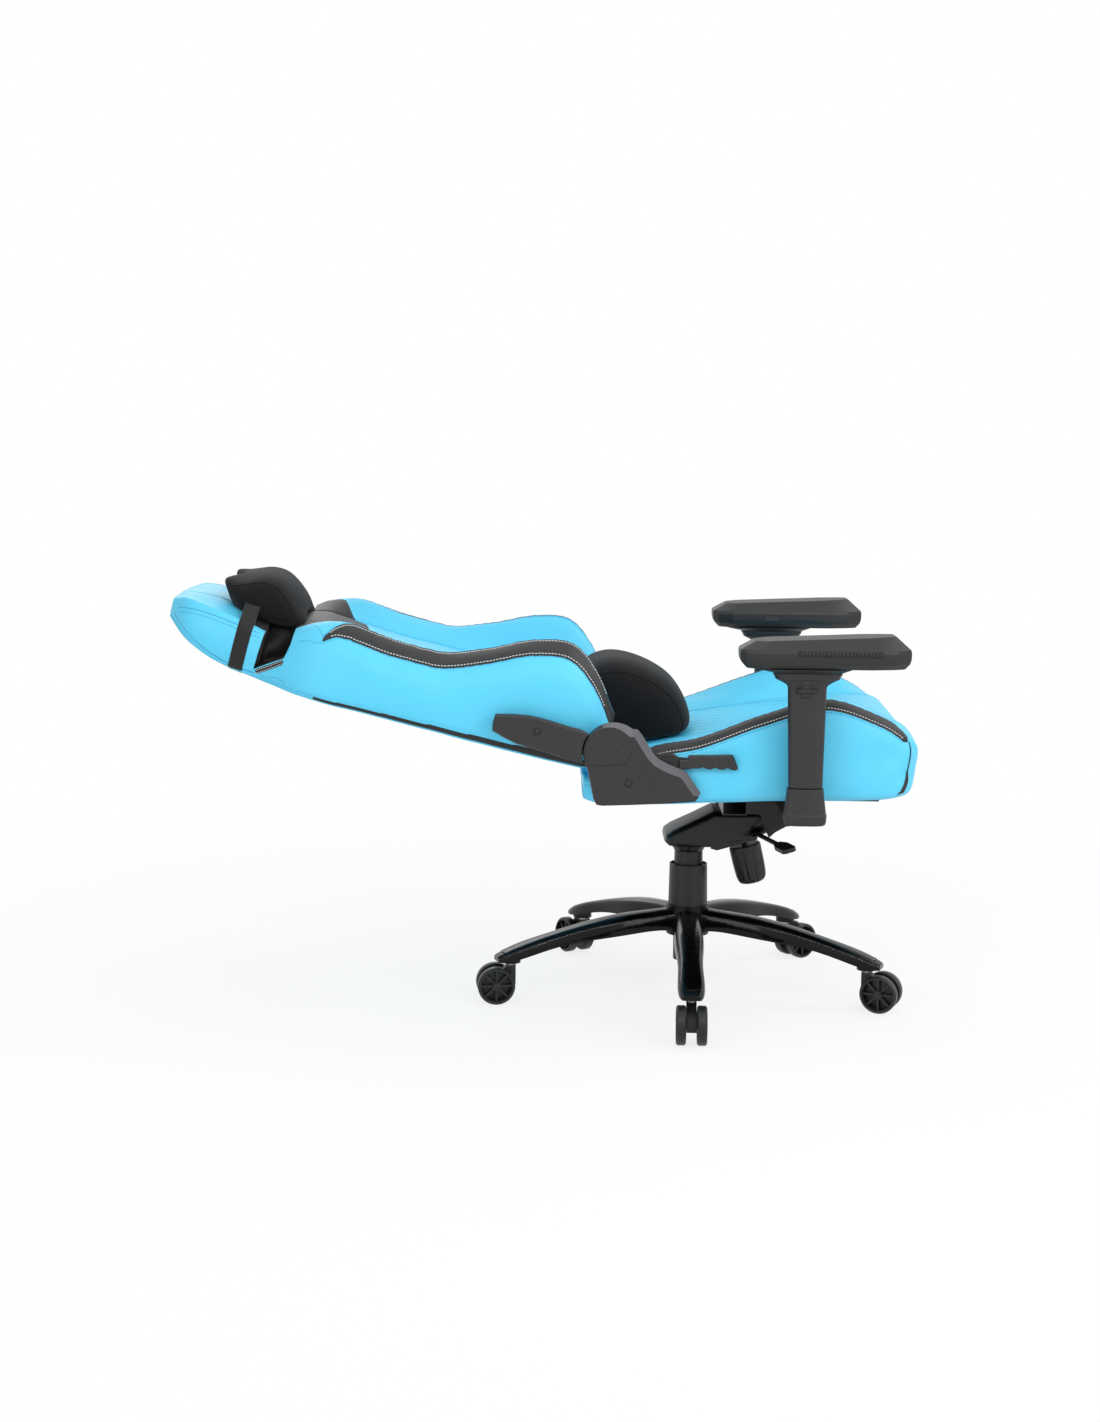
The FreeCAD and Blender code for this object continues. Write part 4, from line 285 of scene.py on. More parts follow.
def read_line(wanted, reach, points):
    """The places on a line at the wanted distances along it."""
    return np.stack([np.interp(wanted, reach, points[:, axis]) for axis in range(points.shape[1])], axis=-1)


def lay_columns(curve, stops, counts, sewn):
    """Points on one half ring, and the column number of each stop."""
    reach = reach_along(curve)
    marks = [reach[np.argmin(np.linalg.norm(curve - np.array(stop), axis=1))] for stop in stops]
    marks = np.maximum.accumulate(marks)
    columns, numbers = [marks[0]], [0]
    for k, count in enumerate(counts):
        low, high = marks[k], marks[k + 1]
        bank = min(LIP, (high - low) / 4)
        span = np.linspace(low + bank * sewn[k], high - bank * sewn[k + 1], count + 1)
        columns += list(span if sewn[k] else span[1:])
        if sewn[k + 1]:
            columns.append(high)
        numbers.append(len(columns) - 1)
    return read_line(columns, reach, curve), numbers


def whole_ring(half_ring):
    """The chair's right half (-X) from the underside up, then the left half back down."""
    right = half_ring * np.array([-1.0, 1.0])
    return np.vstack([right, half_ring[-2:0:-1]])


# %% [markdown]
# The seat has a low quilted middle and two bolsters. A well underneath holds the steel frame.
# Each station gives its place along the chair, half width, bolster crest, middle and underside, in mm.

# %% Seat cushion cross-sections
SEAT_STATIONS = np.array([
    (-377, 190, 440, 446, 404), (-364, 226, 468, 477, 396), (-332, 252, 501, 504, 389),
    (-275, 260, 532, 506, 384.5), (-205, 262, 550, 498, 383), (-100, 262, 522, 484, 381),
    (0, 262, 485, 468, 377), (90, 261, 463, 454, 374), (99, 261, 431, 428, 374),
    (122, 260, 415, 412, 373), (150, 258, 411, 409, 373), (176, 251, 416, 410, 375),
    (190, 244, 419, 411, 379)], float)
WELL = {"front": -300, "back": 95, "half": 217.4, "top": 405.5}
PAN_HALF, CHANNELS = 168, 5
SEAT_COUNTS = (6, 1, 3, 13, 4, 12, 6 * CHANNELS)
SEAT_SEWN = (0, 0, 0, 1, 1, 1, 1, 0)


def seat_ring(along):
    """One cross-section of the seat, in (distance from the middle, height)."""
    half, crest, pan, under = through(SEAT_STATIONS[:, 0], SEAT_STATIONS[:, 1:], [along])[0]
    share = half / 262
    rise = crest - pan
    edge = min(18, (crest - under) * 0.25)
    in_well = WELL["front"] < along < WELL["back"]
    roof = WELL["top"] if in_well else under
    wall = min(WELL["half"], half - 24)
    lower = [(0, roof), (wall / 2, roof), (wall, roof), (wall + 0.8, under), (half - 14, under)]
    upper = rounded_line([(half - 14, under), (half - 3, under + edge * 0.5), (half, under + edge * 1.4),
                          (half + 1, (under + crest) / 2), (half, crest - edge),
                          (half - 8 * share, crest - edge * 0.3), (half - 24 * share, crest),
                          (half - 50 * share, crest - 0.35 * rise), (PAN_HALF * share + 18, pan + 0.22 * rise),
                          (PAN_HALF * share, pan), (PAN_HALF * share / 2, pan), (0, pan)])
    narrowing = min(1.0, max(0.08, (along + 346) / 11))
    stops = [lower[0], lower[2], lower[3], lower[4],
             (half, crest - edge * 0.3 - 9 * narrowing), (half - 6 - 16 * narrowing * share, crest),
             (PAN_HALF * share, pan), (0, pan)]
    return lay_columns(np.vstack([lower, upper[1:]]), stops, SEAT_COUNTS, SEAT_SEWN)


seat_along = np.unique(np.concatenate([
    np.arange(-377, 90, 7.0), [WELL["front"], WELL["front"] + 0.5, 90, 93, 95, 95.5, 99, 104],
    np.arange(111, 191, 8.0), [190]]))
seat_rings = np.array([whole_ring(seat_ring(along)[0]) for along in seat_along])
seat_stops = seat_ring(0)[1]
print("seat rings", seat_rings.shape, "stops", seat_stops)

# %% [markdown]
# The back is drawn the same way, along its own length: s runs from the hinge to the head, t out of the
# front of the back. It lies 14 degrees above level, turned about the hinge.

# %% Back cushion cross-sections
HINGE = Vector((0, 0.143, 0.464))
LEAN = math.radians(14)
BACK_STATIONS = np.array([
    (8, 240, 50, 4, 41), (50, 250, 107, 22, 46), (118, 256, 148, 42, 47), (165, 258, 139, 48, 47),
    (240, 260, 105, 49, 47), (325, 262, 79, 48, 47), (395, 263, 80, 48, 47), (475, 258, 87, 53, 48),
    (530, 240, 72, 58, 48), (566, 214, 50, 50, 47), (604, 190, 34, 46, 46), (650, 176, 42, 54, 42),
    (705, 166, 50, 60, 28), (748, 146, 52, 57, 8), (773, 114, 42, 43, -8)], float)
BACK_COUNTS = (24, 3, 12, 5, 8, 20)
BACK_SEWN = (0, 1, 1, 1, 1, 1, 0)
BAND_TIP = 506


def back_ring(s):
    """One cross-section of the back, in (distance from the middle, t)."""
    half, crest, panel, rear = through(BACK_STATIONS[:, 0], BACK_STATIONS[:, 1:], [s])[0]
    share = half / 258
    rise = crest - panel
    edge = min(15, (crest + rear) * 0.3)
    lean_in = min(1.0, max(0.0, (545 - s) / 90))
    steep = np.array([(half - 1, crest - edge - 8), (half - 9 * share, crest - edge * 0.5),
                      (half - 22 * share, crest - 0.8), (half - 36 * share, crest - 0.6),
                      (half - 62 * share, crest - 0.36 * rise)])
    sloping = np.array([(half - 3, crest - 42), (half - 15, crest - 25), (half - 38, crest - 9),
                        (half - 66, crest - 0.6), (half - 88, crest - 0.36 * rise)])
    bolster = [tuple(point) for point in steep + (sloping - steep) * lean_in]
    lower = [(0, -rear), (half / 2, -rear), (half - 24 * share, -rear)]
    upper = rounded_line([(half - 24 * share, -rear), (half - 10 * share, 2 - rear), (half - 2, edge - rear),
                          (half + 1, (crest - rear) / 2)] + bolster
                         + [(139 * share + 14, panel + 0.15 * rise), (139 * share, panel),
                            (70 * share, panel + 1), (0, panel + 2)])
    stripe = 4 + 12 * min(1, max(0, (500 - s) / 440))
    curl = min(1.0, max(0.0, (BAND_TIP - s) / 36)) ** 0.6 if s < BAND_TIP else min(1, (s - BAND_TIP) / 30)
    band_in = half - (5 + (18 + 38 * lean_in) * curl) * share
    stops = [lower[0], (half - 8 * share, 2.6 - rear), (half, stripe - rear),
             (half - 20 * lean_in, crest - 20 - lean_in - 12 * (1 - curl)),
             (band_in, crest - 2 - 22 * (1 - curl)), (139 * share, panel), (0, panel + 2)]
    return lay_columns(np.vstack([lower, upper[1:]]), stops, BACK_COUNTS, BACK_SEWN)


back_along = np.unique(np.concatenate([np.arange(8, 773, 7.0), [BAND_TIP, 773]]))
back_rings = np.array([whole_ring(back_ring(s)[0]) for s in back_along])
back_stops = back_ring(240)[1]
print("back rings", back_rings.shape, "stops", back_stops)


# %% [markdown]
# The black yoke between the belt openings ends in a wide U. The rows of points bend to follow that line,
# so that the two leathers meet on one smooth edge instead of on steps.

# %% Bending rows along the yoke
YOKE_ROW, YOKE_HALF, YOKE_TOP = 540, 205, 632


def yoke_edge(x):
    """Where the yoke ends towards the seat, at a distance x from the middle, in mm along the back."""
    return YOKE_ROW - 92 * (1 - min(1, abs(x) / YOKE_HALF) ** 2.2)


yoke_row = int(np.argmin(abs(back_along - YOKE_ROW)))
lines = np.stack([back_rings[..., 0], np.broadcast_to(back_along[:, None], back_rings.shape[:2]),
                  back_rings[..., 1]], axis=-1).astype(float)
influence = np.clip(1 - abs(back_along - YOKE_ROW) / 185, 0, 1)
for column in range(back_stops[4], lines.shape[1] - back_stops[4] + 1):
    shift = yoke_edge(lines[yoke_row, column, 0]) - back_along[yoke_row]
    wanted = back_along + shift * influence
    lines[:, column] = read_line(wanted, back_along, lines[:, column])


def on_back(x, s, t):
    """A point of the back, given in mm, as a place in the room in metres."""
    turn_y = s * math.cos(LEAN) - t * math.sin(LEAN)
    turn_z = s * math.sin(LEAN) + t * math.cos(LEAN)
    return np.stack([np.asarray(x) * MM, HINGE.y + turn_y * MM, HINGE.z + turn_z * MM], axis=-1)


# %% [markdown]
# A cover is the rings joined by quads. Its ends close with a few smaller rings, pushed out a little,
# which is how leather looks where it is pulled over the end of a block of foam.


# %% Joining rings into a cover
def close_ends(points, bulge, outwards):
    """Smaller rings that close an open end, and the single point in its middle."""
    centre = points.mean(axis=0)
    rings = [centre + (points - centre) * scale + outwards * bulge * lift
             for scale, lift in ((0.93, 0.5), (0.75, 0.85), (0.45, 1.0), (0.15, 1.0))]
    return rings, centre + outwards * bulge


def join_rings(name, surface, zones, end_zone, bulges):
    """A closed mesh from a grid of points; zones gives each column of faces a material number."""
    count = surface.shape[1]
    first, first_tip = close_ends(surface[0], bulges[0], unit(surface[0].mean(0) - surface[3].mean(0)))
    last, last_tip = close_ends(surface[-1], bulges[1], unit(surface[-1].mean(0) - surface[-4].mean(0)))
    rings = np.array(first[::-1] + list(surface) + last)
    vertices = np.vstack([rings.reshape(-1, 3), [first_tip, last_tip]])
    faces, materials = [], []
    for row in range(len(rings) - 1):
        on_end = row < len(first) or row >= len(rings) - 1 - len(last)
        for column in range(count):
            after = (column + 1) % count
            a, b = row * count, (row + 1) * count
            faces.append((a + column, a + after, b + after, b + column))
            materials.append(end_zone if on_end else zones(row - len(first), column))
    top = (len(rings) - 1) * count
    for column in range(count):
        after = (column + 1) % count
        faces.append((after, column, len(vertices) - 2))
        faces.append((top + column, top + after, len(vertices) - 1))
        materials += [end_zone, end_zone]
    return piece(name, vertices, faces, materials)


def unit(vector):
    return vector / np.linalg.norm(vector)


def piece(name, vertices, faces, materials=None):
    """A mesh object, smooth shaded, with its faces turned outwards."""
    mesh = bpy.data.meshes.new(name)
    mesh.from_pydata([tuple(v) for v in vertices], [], faces)
    if materials is not None:
        mesh.polygons.foreach_set("material_index", materials)
    tidy = bmesh.new()
    tidy.from_mesh(mesh)
    bmesh.ops.recalc_face_normals(tidy, faces=tidy.faces)
    for face in tidy.faces:
        face.smooth = True
    tidy.to_mesh(mesh)
    tidy.free()
    made = bpy.data.objects.new(name, mesh)
    bpy.context.scene.collection.objects.link(made)
    return made


def vertex_places(mesh):
    """Every vertex of a mesh, as rows of x, y and z."""
    flat = np.empty(len(mesh.vertices) * 3)
    mesh.vertices.foreach_get("co", flat)
    return flat.reshape(-1, 3)


def work_in(made):
    """Works a piece's modifiers into its mesh, so that none is left on it."""
    solved = made.evaluated_get(bpy.context.evaluated_depsgraph_get())
    made.data = bpy.data.meshes.new_from_object(solved)
    made.modifiers.clear()
    return made


def tube_faces(rows, count, base=0):
    """Quads between closed outlines of the same number of points, and a flat face on each end."""
    walls = [(base + row * count + k, base + row * count + (k + 1) % count,
              base + (row + 1) * count + (k + 1) % count, base + (row + 1) * count + k)
             for row in range(rows - 1) for k in range(count)]
    last = base + (rows - 1) * count
    return walls + [tuple(range(base, base + count)), tuple(range(last, last + count))]


def dress(made, *materials):
    """Gives a piece its materials, in the order its faces number them."""
    for material in materials:
        made.data.materials.append(material)
    return made


def column_zone(column, stops, count):
    """Which span between stops a column of faces is in, the same on both halves."""
    half = stops[-1]
    mirrored = column if column < half else count - 1 - column
    return next(k for k in range(len(stops) - 1) if stops[k] <= mirrored < stops[k + 1])

# %% [markdown]
# Leather between two seams is never flat: the foam pushes it out. Along the quilted middle of the seat
# each channel is a small roll. Close to a seam the thread gathers the leather in fine puckers.


# %% Seams, rolls and puckers
def grid_normals(surface):
    """Outward normals of a grid of rings."""
    along = np.gradient(surface, axis=0)
    around = np.roll(surface, -1, axis=1) - np.roll(surface, 1, axis=1)
    normals = np.cross(along, around)
    normals /= np.maximum(np.linalg.norm(normals, axis=2, keepdims=True), 1e-12)
    outwards = ((surface - surface.mean(axis=1, keepdims=True)) * normals).sum()
    return normals * np.sign(outwards)


def both_sides(columns, count):
    """A column and its mirror image on the other half."""
    return sorted({each for column in columns for each in (column, (count - column) % count)})


def press_seams(surface, columns, depth_mm, rows=slice(None)):
    """Pulls whole columns of points into the foam, on both halves."""
    normals = grid_normals(surface)
    for column in both_sides(columns, surface.shape[1]):
        surface[rows, column] -= normals[rows, column] * depth_mm * MM
    return surface


def gather_seams(surface, columns, height_mm, pitch_mm, width_mm=9):
    """Fine puckers that start at a seam and die out beside it."""
    normals = grid_normals(surface)
    reach = np.cumsum(np.linalg.norm(np.diff(surface, axis=0, prepend=surface[:1]), axis=2), axis=0)
    for column in both_sides(columns, surface.shape[1]):
        for step in range(-3, 4):
            beside = (column + step) % surface.shape[1]
            away = np.linalg.norm(surface[:, beside] - surface[:, column], axis=1)
            fade = np.exp(-(away / (width_mm * MM)) ** 2)
            wave = np.sin(reach[:, column] / (pitch_mm * MM) * 2 * math.pi + 3 * np.sin(reach[:, column] * 40))
            surface[:, beside] += normals[:, beside] * (wave * fade)[:, None] * height_mm * MM
    return surface


def loosen(surface, height_mm, grain_mm, seed):
    """The slow unevenness of foam under leather."""
    normals = grid_normals(surface)
    for row, column in np.ndindex(surface.shape[:2]):
        spot = Vector(surface[row, column]) / (grain_mm * MM) + Vector((seed, 0, 0))
        surface[row, column] += normals[row, column] * noise.noise(spot) * height_mm * MM
    return surface


# %% [markdown]
# Now both grids become places in the room. The quilted middle of the seat gets its rolls here: each is
# about 34 mm wide and 6 mm high, with a thread pulled down between it and the next. The front face leans
# back towards its foot, by an amount that depends on the height.

# %% Both cushions in the room
seat_surface = np.stack([seat_rings[..., 0] * MM, np.broadcast_to(seat_along[:, None] * MM, seat_rings.shape[:2]),
                         seat_rings[..., 1] * MM], axis=-1)
back_surface = on_back(lines[..., 0], lines[..., 1], lines[..., 2])
rake = np.interp(seat_surface[..., 2] / MM, [380, 396, 411, 428, 440, 453, 470], [11, 15, 17, 16, 11, 5, 0])
seat_surface[..., 1] += rake * MM * (np.clip((-300 - seat_along) / 77, 0, 1) ** 1.2)[:, None]
QUILT_FRONT, QUILT_RISE = -238, 6.5
pan_edge, pan_middle = seat_stops[6], seat_stops[7]
columns_per_roll = (pan_middle - pan_edge - 1) // CHANNELS
seat_count = seat_surface.shape[1]
for column in range(pan_edge + 1, seat_count - pan_edge):
    across = min(column, seat_count - column) - pan_edge - 1
    place = (across % columns_per_roll) / columns_per_roll
    roll = math.sin(math.pi * place) ** 0.6 if 0 < place < 1 else 0.0
    quilted = 1 / (1 + np.exp((QUILT_FRONT - seat_along) / 3))
    seat_surface[:, column, 2] += (roll - 0.6) * QUILT_RISE * MM * quilted

seat_seams = seat_stops[3:7]
back_seams = back_stops[1:6]
loosen(seat_surface, 1.0, 55, 3.0)
loosen(back_surface, 1.2, 60, 8.0)
press_seams(seat_surface, seat_seams, 2.2)
below_tip = back_along < BAND_TIP + 4
press_seams(back_surface, back_stops[3:5], 2.2, rows=below_tip)
press_seams(back_surface, [back_stops[1], back_stops[2], back_stops[5]], 2.2)
gather_seams(seat_surface, seat_stops[4:7], 0.45, 17)
gather_seams(back_surface, back_stops[3:6], 0.45, 19)
print("seat grid", seat_surface.shape, "back grid", back_surface.shape, "columns per roll", columns_per_roll)

# %% [markdown]
# The seat's faces take their leather from the span they are in: underside and sides blue, the narrow band
# on each crest black, the middle blue. The back has one more black piece, the yoke between the two belt
# openings, and a black stripe low on each side with the blue rear panel below it.

# %% Which leather each face is
BLUE, BLACK = 0, 1


def seat_zone(row, column):
    span = column_zone(column, seat_stops, seat_count)
    on_band = span == 4 and -346 < seat_along[row] < 97
    in_well = span == 0 and WELL["front"] < seat_along[row] < WELL["back"]
    return BLACK if span == 1 or on_band or in_well else BLUE


back_count = back_surface.shape[1]


def back_zone(row, column):
    span = column_zone(column, back_stops, back_count)
    s = back_along[row]
    if span == 1 and s < 492:
        return BLACK
    if span == 3 and s < BAND_TIP:
        return BLACK
    in_yoke = row >= yoke_row and lines[row, column, 1] < YOKE_TOP
    if span >= 4 and in_yoke and abs(lines[yoke_row, column, 0]) < YOKE_HALF:
        return BLACK
    return BLUE


seat_cover = join_rings("seat_cover", seat_surface, seat_zone, BLUE, (7 * MM, 2 * MM))
back_cover = join_rings("back_cover", back_surface, back_zone, BLUE, (2 * MM, 5 * MM))
for cover in (seat_cover, back_cover):
    dress(cover, blue_leather, black_leather)
print("faces", len(seat_cover.data.polygons), len(back_cover.data.polygons))

# %% [markdown]
# A real cover is cut a little small and the foam swells into it. The cloth solver does that here: seams and
# the underside are pinned, air pressure pushes the rest outwards, and no point may move further than a
# few millimetres, so that the seat keeps its measured size.


# %% Letting the foam swell into its cover
def swell(cover, pinned, most_mm, pressure=4.0, frames=14):
    """Runs the cloth solver and keeps its result, with every move capped."""
    before = vertex_places(cover.data)
    group = cover.vertex_groups.new(name="sewn")
    group.add([int(each) for each in pinned], 1.0, "REPLACE")
    cloth = cover.modifiers.new("Cloth", "CLOTH")
    cloth.settings.quality = 6
    cloth.settings.mass = 0.4
    cloth.settings.tension_stiffness = 25
    cloth.settings.compression_stiffness = 20
    cloth.settings.bending_stiffness = 3
    cloth.settings.use_pressure = True
    cloth.settings.uniform_pressure_force = pressure
    cloth.settings.vertex_group_mass = "sewn"
    cloth.settings.effector_weights.gravity = 0
    cloth.point_cache.frame_end = frames
    scene = bpy.context.scene
    for frame_number in range(1, frames + 1):
        scene.frame_set(frame_number)
    solved = cover.evaluated_get(bpy.context.evaluated_depsgraph_get())
    move = vertex_places(solved.data) - before
    size = np.linalg.norm(move, axis=1, keepdims=True)
    move *= np.minimum(1.0, most_mm * MM / np.maximum(size, 1e-9))
    cover.modifiers.remove(cloth)
    cover.vertex_groups.clear()
    scene.frame_set(1)
    cover.data.vertices.foreach_set("co", (before + move).ravel())
    cover.data.update()
    print(cover.name, "moved at most", round(float(np.linalg.norm(move, axis=1).max()) / MM, 1), "mm, mean",
          round(float(np.linalg.norm(move, axis=1).mean()) / MM, 2))


def grid_points(rows, columns, count, extra=4):
    """Vertex numbers of a cover's grid; its end rings come first."""
    return [(row + extra) * count + column for row in rows for column in columns]


roll_seams = list(range(pan_edge + 1, pan_middle + 1, columns_per_roll))
quilted_rows = np.nonzero(seat_along > QUILT_FRONT)[0]
seat_rows, back_rows = range(len(seat_along)), range(len(back_along))
under_columns = both_sides(range(0, seat_stops[3] + 1), seat_count)
seat_pins = set(grid_points(seat_rows, both_sides(seat_seams, seat_count) + under_columns, seat_count))
seat_pins |= set(grid_points(quilted_rows, both_sides(roll_seams, seat_count), seat_count))
seat_pins |= set(grid_points(np.nonzero(seat_along > 90)[0], range(seat_count), seat_count))
rear_columns = both_sides(range(0, back_stops[1] + 1), back_count)
back_pins = set(grid_points(back_rows, both_sides(back_seams, back_count) + rear_columns, back_count))
swell(seat_cover, seat_pins, 4.5)
swell(back_cover, back_pins, 5.5)


def read_grid(cover, rows, count, extra=4):
    """The cover's grid of points as it stands now."""
    return vertex_places(cover.data)[extra * count:(extra + rows) * count].reshape(rows, count, 3)


seat_grid = read_grid(seat_cover, len(seat_along), seat_count)
back_grid = read_grid(back_cover, len(back_along), back_count)

# %% [markdown]
# The belt openings are cut after the swelling, because a hole would let the pressure out. Each is a notch in
# the shoulder whose outer rim is low, and a slot that goes right through, lined in black.


# %% Belt openings
def prism_on_back(name, outline, x_low, x_high):
    """A closed prism across the chair from an outline in (s, t), in mm."""
    count = len(outline)
    vertices = [on_back(x, s, t) for x in (x_low, x_high) for s, t in outline]
    faces = [tuple(range(count)), tuple(range(2 * count - 1, count - 1, -1))]
    faces += [(k, (k + 1) % count, count + (k + 1) % count, count + k) for k in range(count)]
    return piece(name, vertices, faces)


def carve(cover, tool):
    """Cuts a tool's shape out of a cover; the cut takes the tool's material."""
    cut = cover.modifiers.new("Carve", "BOOLEAN")
    cut.operation = "DIFFERENCE"
    cut.solver = "EXACT"
    cut.material_mode = "TRANSFER"
    cut.object = tool
    work_in(cover)
    bpy.data.objects.remove(tool)


NOTCH = [(609, -30), (596, -20), (580, -8), (562, 5), (557, 30), (556, 52), (560, 90), (603, 90), (607, 19)]
SLOT = {"low": 566, "high": 602, "near": 94, "far": 150}
for side in SIDES.values():
    near, far = sorted((side * 91, side * 300))
    notch = dress(prism_on_back("notch_tool", NOTCH, near, far), black_leather)
    carve(back_cover, notch)
    near, far = sorted((side * SLOT["near"], side * SLOT["far"]))
    slot_outline = [(SLOT["low"], -80), (SLOT["high"], -80), (SLOT["high"], 20), (SLOT["low"], 20)]
    slot = dress(prism_on_back("slot_tool", slot_outline, near, far), black_leather)
    carve(back_cover, slot)
print("back cover after the openings:", len(back_cover.data.polygons), "faces,",
      [material.name for material in back_cover.data.materials])

# %% [markdown]
# Stitching is geometry here, not paint, because it catches light and shows against the sky at a crest. A
# machine lays a stitch about every 5 mm; each is drawn as a small bead of thread, 4 mm long, half sunk.


# %% Rows of stitches
def beside(grid, column, toward, distance_mm, rows):
    """A line of points on a grid, beside one of its columns, and the normals there."""
    count = grid.shape[1]
    path = [grid[rows, (column + toward * step) % count] for step in range(9)]
    normals = grid_normals(grid)[rows, column % count]
    line = []
    for row in range(len(rows)):
        track = np.array([points[row] for points in path])
        line.append(read_line(distance_mm * MM, reach_along(track), track))
    return np.array(line), normals


BEAD_SECTION = ((1, 0.0), (0.55, 0.75), (-0.55, 0.75), (-1, 0.0))
BEAD_END, BEAD_HEIGHT, BEAD_SUNK_MM = 0.45, 0.75, 0.1


def stitches(name, rows_of_thread, material, pitch_mm=5.4, long_mm=4.0, wide_mm=1.3):
    """One mesh of beads of thread along several (points, normals) lines."""
    vertices, faces = [], []
    for points, normals in rows_of_thread:
        reach = reach_along(points)
        for start in np.arange(pitch_mm / 2, reach[-1] / MM - long_mm, pitch_mm):
            ends = [read_line(at * MM, reach, points) for at in (start, start + long_mm)]
            up = unit(read_line(start * MM, reach, normals))
            way = unit(ends[1] - ends[0])
            side = np.cross(way, up) * wide_mm * MM / 2
            middle = (ends[0] + ends[1]) / 2
            base = len(vertices)
            for centre, swell_by in ((ends[0], BEAD_END), (middle, 1.0), (ends[1], BEAD_END)):
                for across, lift in BEAD_SECTION:
                    rise = lift * wide_mm * BEAD_HEIGHT * swell_by - BEAD_SUNK_MM
                    vertices.append(centre + side * across * swell_by + up * rise * MM)
            for block in (0, 4):
                faces += [(base + block + k, base + block + k + 1, base + block + k + 5, base + block + k + 4)
                          for k in range(3)]
            faces += [(base, base + 1, base + 2, base + 3), (base + 8, base + 9, base + 10, base + 11)]
    return dress(piece(name, vertices, faces), material)


def seam_rows(grid, column, toward, distance_mm, rows):
    """The same row of stitches on the right and the left side."""
    count = grid.shape[1]
    return [beside(grid, column, toward, distance_mm, rows),
            beside(grid, (count - column) % count, -toward, distance_mm, rows)]


band_rows = np.nonzero((back_along > 22) & (back_along < BAND_TIP - 2))[0]
body_rows = np.nonzero((back_along > 22) & (back_along < 548))[0]
seat_band_rows = np.nonzero((seat_along > -337) & (seat_along < 88))[0]
low, high = back_stops[3], back_stops[4]
back_white = seam_rows(back_grid, low, 1, 4.6, band_rows) + seam_rows(back_grid, high, -1, 6.4, band_rows)
back_welts = seam_rows(back_grid, high, -1, 0.0, band_rows)
back_blue = (seam_rows(back_grid, low, -1, 4.0, body_rows) + seam_rows(back_grid, high, 1, 4.0, body_rows)
             + seam_rows(back_grid, back_stops[5], -1, 4.0, body_rows))
low, high = seat_stops[4], seat_stops[5]
seat_white = seam_rows(seat_grid, low, 1, 5.0, seat_band_rows)
seat_welts = seam_rows(seat_grid, high, -1, 0.0, seat_band_rows)
seat_blue = (seam_rows(seat_grid, low, -1, 4.0, seat_band_rows) + seam_rows(seat_grid, high, 1, 4.0, seat_band_rows)
             + seam_rows(seat_grid, seat_stops[6], -1, 4.0, seat_band_rows))
# The quilting rows are wide, long beads in the darker thread, so each valley shows a painted shaded line.
quilting = []
for column in roll_seams:
    for toward in (-1, 1):
        quilting += seam_rows(seat_grid, column, toward, 3.8, quilted_rows[seat_along[quilted_rows] < 88])
threads = {
    "back": [stitches("back_band_stitching", back_white, white_thread, wide_mm=2.0),
             stitches("back_seam_stitching", back_blue, blue_thread)],
    "seat": [stitches("seat_band_stitching", seat_white, white_thread, wide_mm=1.8),
             stitches("seat_seam_stitching", seat_blue, blue_thread),
             stitches("seat_quilting", quilting, quilting_thread_painted_shade, pitch_mm=6.4, long_mm=4.6, wide_mm=2.2)],
}
print("stitch meshes", {body: [len(each.data.vertices) for each in made] for body, made in threads.items()})

# %% [markdown]
# Some trims cross the grid: the piping round the front of the seat, the seams of the head, the black edge
# of each belt opening. They are found by looking at the cover from the side, ray by ray, and laid on it.


# %% Looking at a cover from the side
def skin_of(cover):
    return BVHTree.FromPolygons([v.co for v in cover.data.vertices], [p.vertices for p in cover.data.polygons])


def from_side(skin, side, points):
    """Where rays from one side of the chair meet a cover: places and outward normals."""
    places, normals = [], []
    for point in points:
        start = Vector((side * 0.6, point[1], point[2]))
        place, normal, _, _ = skin.ray_cast(start, Vector((-side, 0, 0)))
        if place is None:
            place, normal, _, _ = skin.find_nearest(Vector((side * 0.2, point[1], point[2])))
        places.append(np.array(place))
        normals.append(np.array(normal) * (1 if normal.x * side > 0 else -1))
    return np.array(places), np.array(normals)


def along_line(corners, spacing_mm=6):
    """Evenly spaced points on a smooth line through 3-D corners in metres."""
    fine = rounded_line(np.array(corners), 12)
    reach = reach_along(fine)
    wanted = np.linspace(0, reach[-1], max(3, int(reach[-1] / (spacing_mm * MM))))
    return read_line(wanted, reach, fine)


def cord_mesh(name, lines_3d, radius_mm, material, sides=8, sunk=0.3):
    """Thin round piping along lines of (points, normals), partly sunk in the cover."""
    vertices, faces = [], []
    for points, normals in lines_3d:
        base = len(vertices)
        ways = np.gradient(points, axis=0)
        from_end = np.minimum(np.arange(len(points)), np.arange(len(points))[::-1])
        radii = radius_mm * MM * np.minimum(1, from_end / 2 + 0.3)
        for point, normal, way, radius in zip(points, normals, ways, radii):
            out = unit(normal)
            across = unit(np.cross(unit(way), out))
            centre = point + out * radius * (1 - 2 * sunk)
            for k in range(sides):
                turn = 2 * math.pi * k / sides
                vertices.append(centre + (across * math.cos(turn) + out * math.sin(turn)) * radius)
        faces += tube_faces(len(points), sides, base)
    return dress(piece(name, vertices, faces), material)


